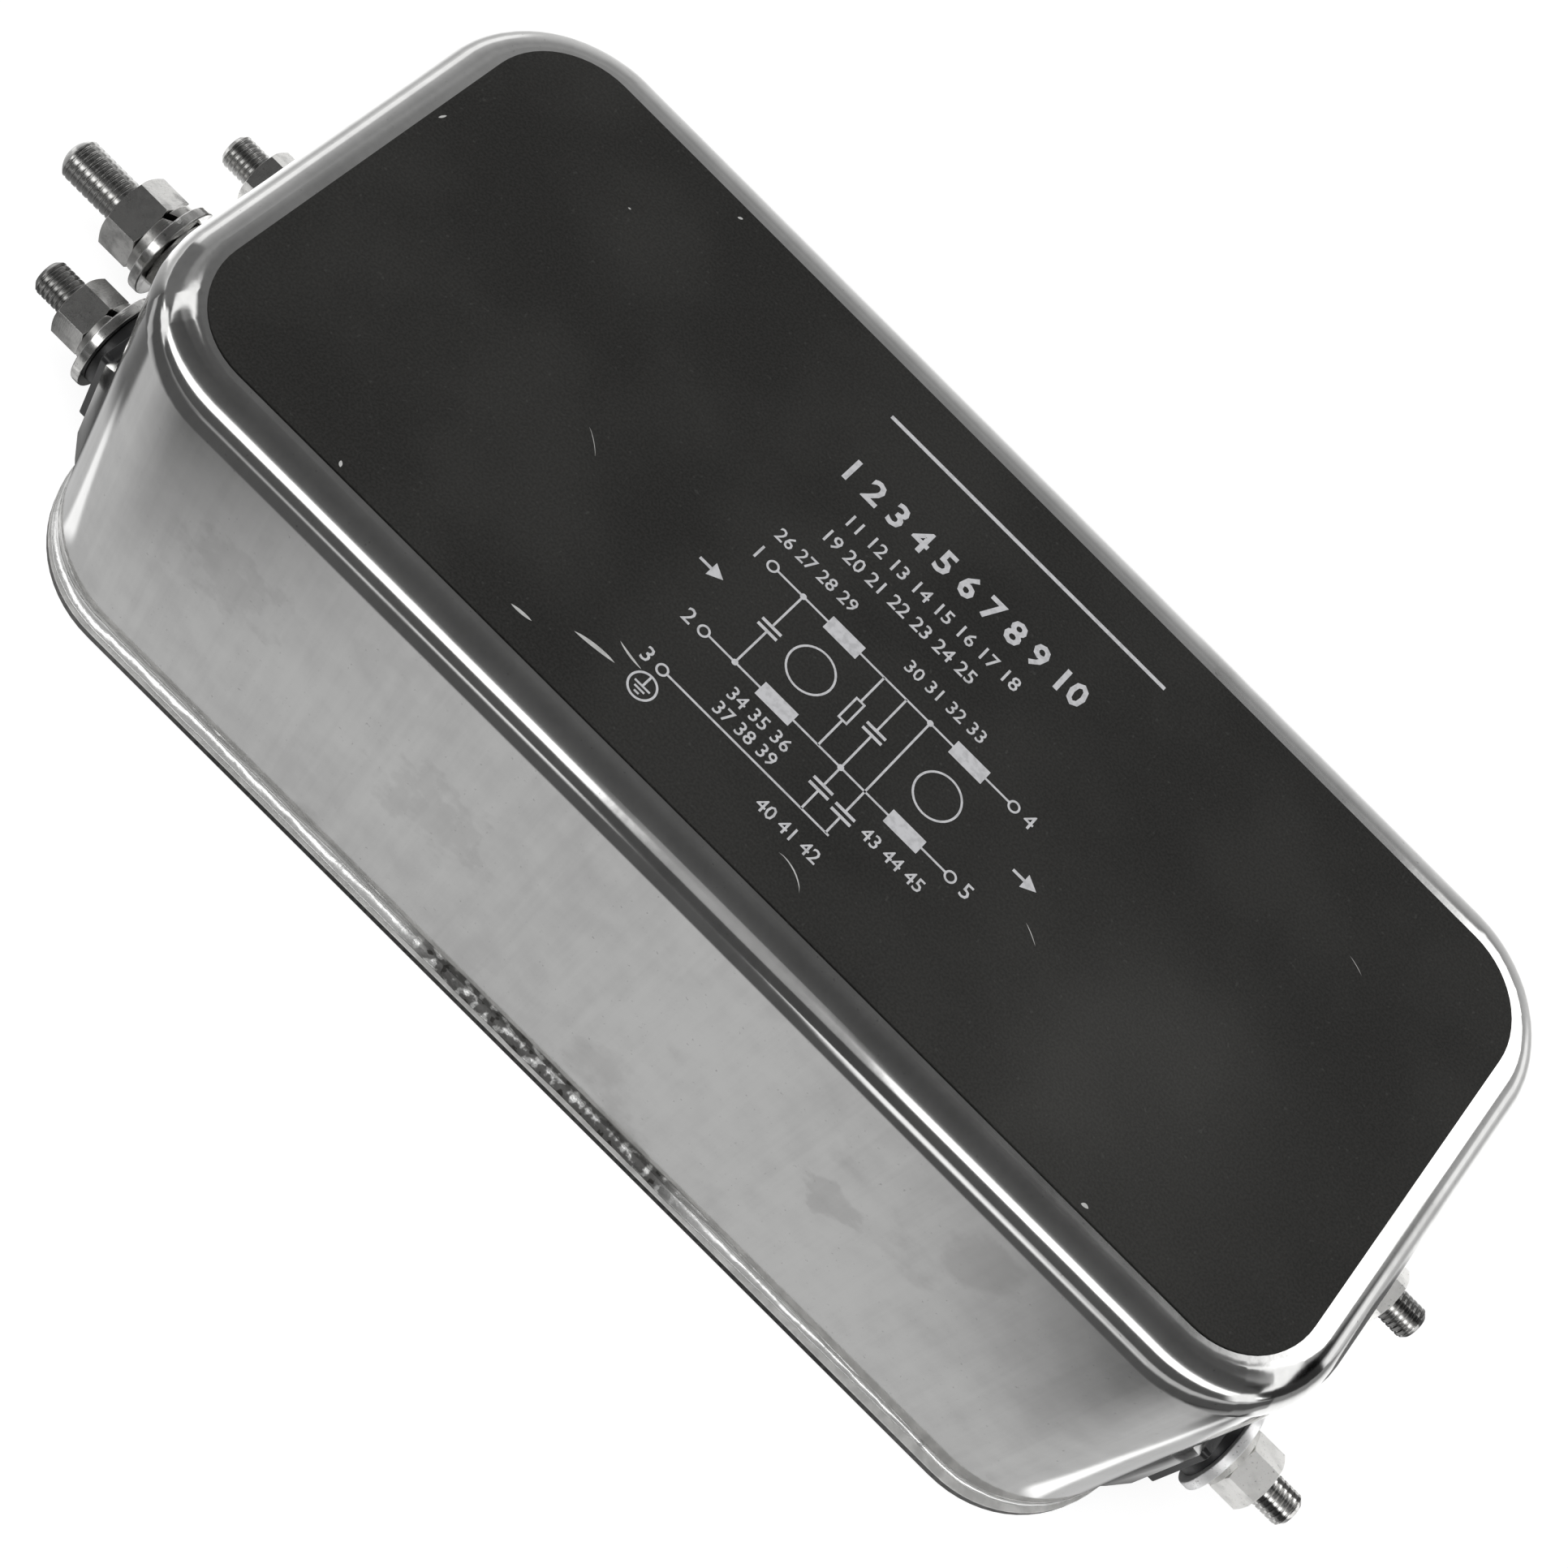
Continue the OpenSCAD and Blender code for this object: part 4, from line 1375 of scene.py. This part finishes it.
@dataclass
class Board:
    """An upright dark board in front of the filter that only mirror-like surfaces see."""

    name: str
    left: float
    right: float
    low: float
    high: float
    shade: float
    place: float = -600.0

    def build(self) -> None:
        """Stands the board up; its sizes are in millimetres."""
        left, right, low, high = self.left, self.right, self.low, self.high
        corners = [(left, low), (right, low), (right, high), (left, high)]
        points = np.array([(x, self.place, z) for x, z in corners]) * MM
        mesh = mesh_of(self.name, points, [[0, 1, 2, 3]], smooth=False)
        board = placed(self.name, mesh)
        made, graph = blank_material(self.name)
        glow = graph.shine("ShaderNodeEmission", (self.shade,) * 3)
        graph.add("ShaderNodeOutputMaterial", {}, {"Surface": glow})
        mesh.materials.append(made)
        board.visible_camera = board.visible_diffuse = board.visible_shadow = False
        board.visible_transmission = board.visible_volume_scatter = False
        board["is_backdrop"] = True


@dataclass
class Studio:
    """White floor, soft light, dark and bright zones for the steel to mirror, and the camera.

    The camera looks from azimuth and elevation at a point, turned by roll about its own axis, and
    slid by two offsets across its view. Each corner lamp is an end, the normal of the plane that it
    lies along, where it begins and ends off that plane, and how far out it reaches.
    """

    azimuth: float = -0.542
    elevation: float = 55.397
    roll: float = -45.375
    distance: float = 385.097 * MM
    slide: tuple[float, float] = (-9.305 * MM, -8.635 * MM)
    lens: float = 68.237
    floor_half: float = 4.0
    sky_peak: float = 2.6
    paper: float = 0.6
    pale: float = 0.8
    shadowed: float = 0.26
    floor_glow: float = 0.86
    round_lamp: tuple[float, float] = (34.0, 41.4)
    corner_lamps: tuple[tuple[int, tuple[float, float, float], float, float, float], ...] = (
        (1, (-0.207, -0.805, 0.556), -0.06, 0.1, 0.95),
        (-1, (0.37, -0.752, 0.545), -0.05, 0.085, 0.9),
    )

    def build(self) -> None:
        """Makes everything round the filter."""
        bpy.context.scene.view_settings.view_transform = "Standard"
        self.floor()
        self.world()
        self.lamp("key_lamp", (-0.35, -0.25, 1.15), size=1.0, power=6.0)
        self.lamp("fill_lamp", (0.7, 0.5, 0.9), size=0.8, power=2.0)
        Board("camera_stand", left=-34, right=98, low=0, high=290, shade=0.08).build()
        Board("camera_body", left=-34, right=98, low=290, high=900, shade=0.4).build()
        self.camera()

    def mirrored_floor(self, graph: Graph) -> Wire:
        """What steel sees of the floor, from zones in millimetres.

        Each pair in a step or a fall is the two sides of a zone's soft edge. They are given one by one,
        and so is the brightness that multiplies each zone.

        Args:
            graph: The floor's tree.

        Returns:
            The brightness: grey paper in front, white paper elsewhere, and what lies on both.
        """
        x, y = (part / MM for part in graph.axes()[:2])
        ahead, side = y * -1, abs(x)
        front = self.front_paper(x, ahead)
        reach = (x * x + y * y) ** 0.5
        behind = 1.2 - reach.step(90, 330) * 0.34 - reach.step(300, 900) * 0.12
        ends = 1.48 - reach.step(140, 290) * 0.82 + reach.step(400, 1000) * 0.2
        outer = behind.towards(ends, (side / reach).step(0.45, 0.8))
        load = x.step(-10, 10)
        dimmed = self.paper - side.step(100, 108) * ahead.step(-4, 30) * 0.45
        line_end = dimmed.towards(outer, y.step(0, 7))
        sheet = (y + side * 0.4 - 26.4).step(-4, 4)
        lit = (1.42 - side.step(150, 330) * 1.1 - self.paper) * side.step(99, 104) * sheet
        load_near = self.paper + lit - side.step(108, 118) * (1 - sheet) * 0.54
        load_end = load_near.towards(outer, self.sheet_edge(side, y))
        tone = line_end.towards(load_end, load).towards(front, y.fall(-38, -34))
        return tone * (1 - self.contact(load, side, y)) + self.corner_glint(load, side, y)

    def sheet_edge(self, side: Wire, y: Wire) -> Wire:
        """1 beyond the slanting edge of the load end's white sheet."""
        return (y - side * 0.5 + 25).step(-5, 5)

    def front_paper(self, x: Wire, ahead: Wire) -> Wire:
        """Grey paper that dims to both corners, then a dark gap, then two far white sheets.

        Args:
            x: Place along the filter.
            ahead: Distance in front of it.

        Returns:
            The brightness.
        """
        side = abs(x)
        paper = self.paper - side.step(38, 96) * ahead.step(44, 74) * 0.44 - x.step(110, 124) * 0.2
        left = x * -1
        load_sheet = x.step(32, 50) * (1 - x.step(70, 130) * 0.6)
        load_sheet = load_sheet * ahead.step(150, 215) * ahead.fall(380, 1100)
        line_sheet = left.step(14, 30) * (1 - left.step(70, 240) * 0.85) * ahead.step(260, 620)
        beyond = 0.11 + load_sheet * 1.35 + line_sheet * 1.1
        return paper.towards(beyond, (ahead + side * 0.13).step(78, 92))

    def contact(self, load: Wire, side: Wire, y: Wire) -> Wire:
        """The dark wedge on the floor along each end's near half, where the terminals' shade lies.

        Args:
            load: 1 at the load end, 0 at the line end.
            side: Distance from the middle along the filter.
            y: Place across it.

        Returns:
            How much of the light is lost: at the load end as far as the white sheet's slanting edge.
        """
        wedge = (y - side * 0.8 + 101).step(-1, 3) * side.step(86, 89)
        line_end = side.fall(100, 106) * y.fall(-6, 2)
        near_wall = side.fall(99, 104) * y.fall(9, 15) + y.step(9, 15)
        load_end = near_wall * (1 - self.sheet_edge(side, y))
        return wedge * (line_end * (1 - load) + load_end * load) * 0.88

    def corner_glint(self, load: Wire, side: Wire, y: Wire) -> Wire:
        """A bright curved sliver off each near corner, which draws the upright line on the corner.

        Args:
            load: 1 at the load end, 0 at the line end.
            side: Distance from the middle along the filter.
            y: Place across it.

        Returns:
            The light that it adds.
        """
        out = side - 88
        line = out * 0.15 + out * out * 0.009 - 36.6
        sliver = abs(y - line).fall(0.9, 2.3) * side.step(84, 87)
        right = load * side.fall(114, 122) * 0.95
        left = (1 - load) * side.fall(98, 110) * 0.75
        return sliver * (right + left)

    def floor(self) -> None:
        """A pale floor that the camera sees as white, with the filter's shadow on it."""
        half = self.floor_half
        corners = [(-half, -half, 0), (half, -half, 0), (half, half, 0), (-half, half, 0)]
        mesh = mesh_of("floor", np.array(corners) - (0, 0, 0.2 * MM), [[0, 1, 2, 3]], smooth=False)
        floor = placed("floor", mesh)
        made, graph = blank_material("pale_floor")
        ray = graph.add("ShaderNodeLightPath")
        pale, shaded = (
            graph.add("ShaderNodeBsdfDiffuse", {}, {"Color": (grey, grey, grey, 1)})["BSDF"]
            for grey in (self.pale, self.shadowed)
        )
        white = graph.shine("ShaderNodeEmission", WHITE, self.floor_glow)
        lit = graph.add("ShaderNodeAddShader", {}, {0: shaded, 1: white})["Shader"]
        mirrored = graph.shine("ShaderNodeEmission", WHITE, self.mirrored_floor(graph))
        unseen = graph.either(ray["Is Glossy Ray"], pale, mirrored)
        both = graph.either(ray["Is Camera Ray"], unseen, lit)
        graph.add("ShaderNodeOutputMaterial", {}, {"Surface": both})
        mesh.materials.append(made)
        floor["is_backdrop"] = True

    def grey(self, level: float) -> Colour:
        """A grey of the sky, as a share of its brightest lamp."""
        return (level / self.sky_peak,) * 3

    def mirrored_sky(self, graph: Graph) -> Wire:
        """What steel sees above the horizon, as shares of the brightest lamp.

        Two ramps make the bands: in front by Z / sqrt(Y^2 + Z^2), a long lamp between two dark
        bands, and behind by Z, a wall that darkens upwards. Over them lie a low white board behind
        each end, a white board before each end, a dim gap between the two, a dark patch beyond the
        load end, a narrow lamp for each near corner, and one round lamp behind.

        Args:
            graph: The world's tree.

        Returns:
            The colour.
        """
        way = graph.add("ShaderNodeTexCoord")["Generated"]
        x, y, z = graph.axes(way)
        peak, side = self.sky_peak, abs(x)
        front = [(0.0, 0.1), (0.41, 0.12), (0.46, peak), (0.655, peak)]
        front += [(0.72, 0.35), (0.80, 0.14), (1.0, 0.09)]
        back = [(0.0, 0.75), (0.07, 0.72), (0.20, 0.64), (0.34, 0.54), (0.47, 0.42)]
        back += [(0.59, 0.35), (0.70, 0.38), (0.77, 0.26), (0.84, 0.12), (1.0, 0.09)]
        across = z / (y**2 + z**2 + 1e-6) ** 0.5
        skies = []
        for stops, rise in ((front, across), (back, z)):
            settings = {"stops": [(at, level / peak) for at, level in stops]}
            skies.append(graph.add("ShaderNodeValToRGB", settings, {"Fac": rise})["Color"])
        sky = graph.blend(y.step(-0.05, 0.05), *skies)
        low_board = z.step(-0.02, 0.02) * z.fall(0.19, 0.29) * side.step(0.5, 0.6) * y.step(0.2, 0.3)
        near_board = side.step(0.8, 0.88) * z.fall(0.28, 0.36) * y.fall(-0.22, -0.15) * y.step(-0.5, -0.42)
        gap = side.step(0.6, 0.7) * z.fall(0.55, 0.63) * y.step(-0.16, -0.1) * y.fall(0.4, 0.46)
        dim = graph.blend(x.step(-0.1, 0.1), self.grey(0.2), self.grey(0.04))
        corner = (x - y * 1.28).step(-0.05, 0.04) * x.step(0.5, 0.6)
        corner = corner * z.step(0.28, 0.36) * z.fall(0.5, 0.6) * y.step(0.0, 0.2)
        layers = [(low_board, self.grey(1.3)), (near_board, self.grey(1.4)), (gap, dim)]
        for share, colour in (*layers, (corner * 0.9, self.grey(0))):
            sky = graph.blend(share, sky, colour)
        for end, normal, low, high, far in self.corner_lamps:
            off, along = graph.along(way, normal), x * end
            lamp = off.step(low - 0.015, low + 0.01) * off.fall(high - 0.015, high + 0.01)
            lamp = lamp * along.step(0.31, 0.37) * along.fall(far - 0.03, far)
            sky = graph.blend(lamp, sky, self.grey(1.45))
        turn, lift = (math.radians(angle) for angle in self.round_lamp)
        aim = (math.sin(turn) * math.cos(lift), math.cos(turn) * math.cos(lift), math.sin(lift))
        return graph.blend(graph.along(way, aim).step(0.966, 0.976), sky, self.grey(peak))

    def world(self) -> None:
        """White to the camera, even to matt surfaces, and bands of light and dark to steel."""
        world = bpy.data.worlds.new("studio")
        bpy.context.scene.world = world
        world.use_nodes = True
        graph = Graph(world.node_tree)
        ray = graph.add("ShaderNodeLightPath")
        kind = "ShaderNodeBackground"
        mirrored = graph.shine(kind, self.mirrored_sky(graph), self.sky_peak)
        even, white = graph.shine(kind, WHITE, 0.5), graph.shine(kind, WHITE)
        lit = graph.either(ray["Is Glossy Ray"], even, mirrored)
        seen = graph.either(ray["Is Camera Ray"], lit, white)
        graph.add("ShaderNodeOutputWorld", {}, {"Surface": seen})

    def lamp(self, name: str, place: Sequence[float], size: float, power: float) -> None:
        """A square soft lamp aimed at the filter.

        Args:
            name: The lamp's name.
            place: Where it hangs, in metres.
            size: Its side.
            power: Its power in watts.
        """
        light = bpy.data.lights.new(name, "AREA")
        light.size = size
        light.energy = power
        lamp = placed(name, light)
        lamp.location = place
        lamp.rotation_euler = (-Vector(place)).to_track_quat("-Z", "Y").to_euler()
        lamp.visible_glossy = False

    def camera(self) -> None:
        """Sets the camera: its axes come from azimuth and elevation, then turn by roll."""
        a, e = math.radians(self.azimuth), math.radians(self.elevation)
        back = Vector((math.sin(a) * math.cos(e), -math.cos(a) * math.cos(e), math.sin(e)))
        right = Vector((math.cos(a), math.sin(a), 0))
        turn = Matrix.Rotation(math.radians(self.roll), 3, "Z")
        rows = turn @ Matrix((right, back.cross(right), back))
        place = rows.transposed() @ Vector((-self.slide[0], -self.slide[1], self.distance))
        data = bpy.data.cameras.new("camera")
        data.lens = self.lens
        data.clip_start = 0.01
        camera = placed("camera", data)
        camera.matrix_world = Matrix.Translation(place) @ rows.transposed().to_4x4()
        bpy.context.scene.camera = camera


def main() -> None:
    """Builds the filter's looks and its stage."""
    logging.basicConfig(level=logging.INFO, format="%(message)s")
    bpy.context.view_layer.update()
    for part in (Enclosure(), Terminals(), RatingLabel(), FilterCircuit(), Studio()):
        part.build()
        LOG.info("built %s", type(part).__name__)
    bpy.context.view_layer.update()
    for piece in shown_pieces():
        LOG.info("piece %s: %d faces", piece.name, len(piece.data.polygons))


if __name__ == "__main__":
    main()
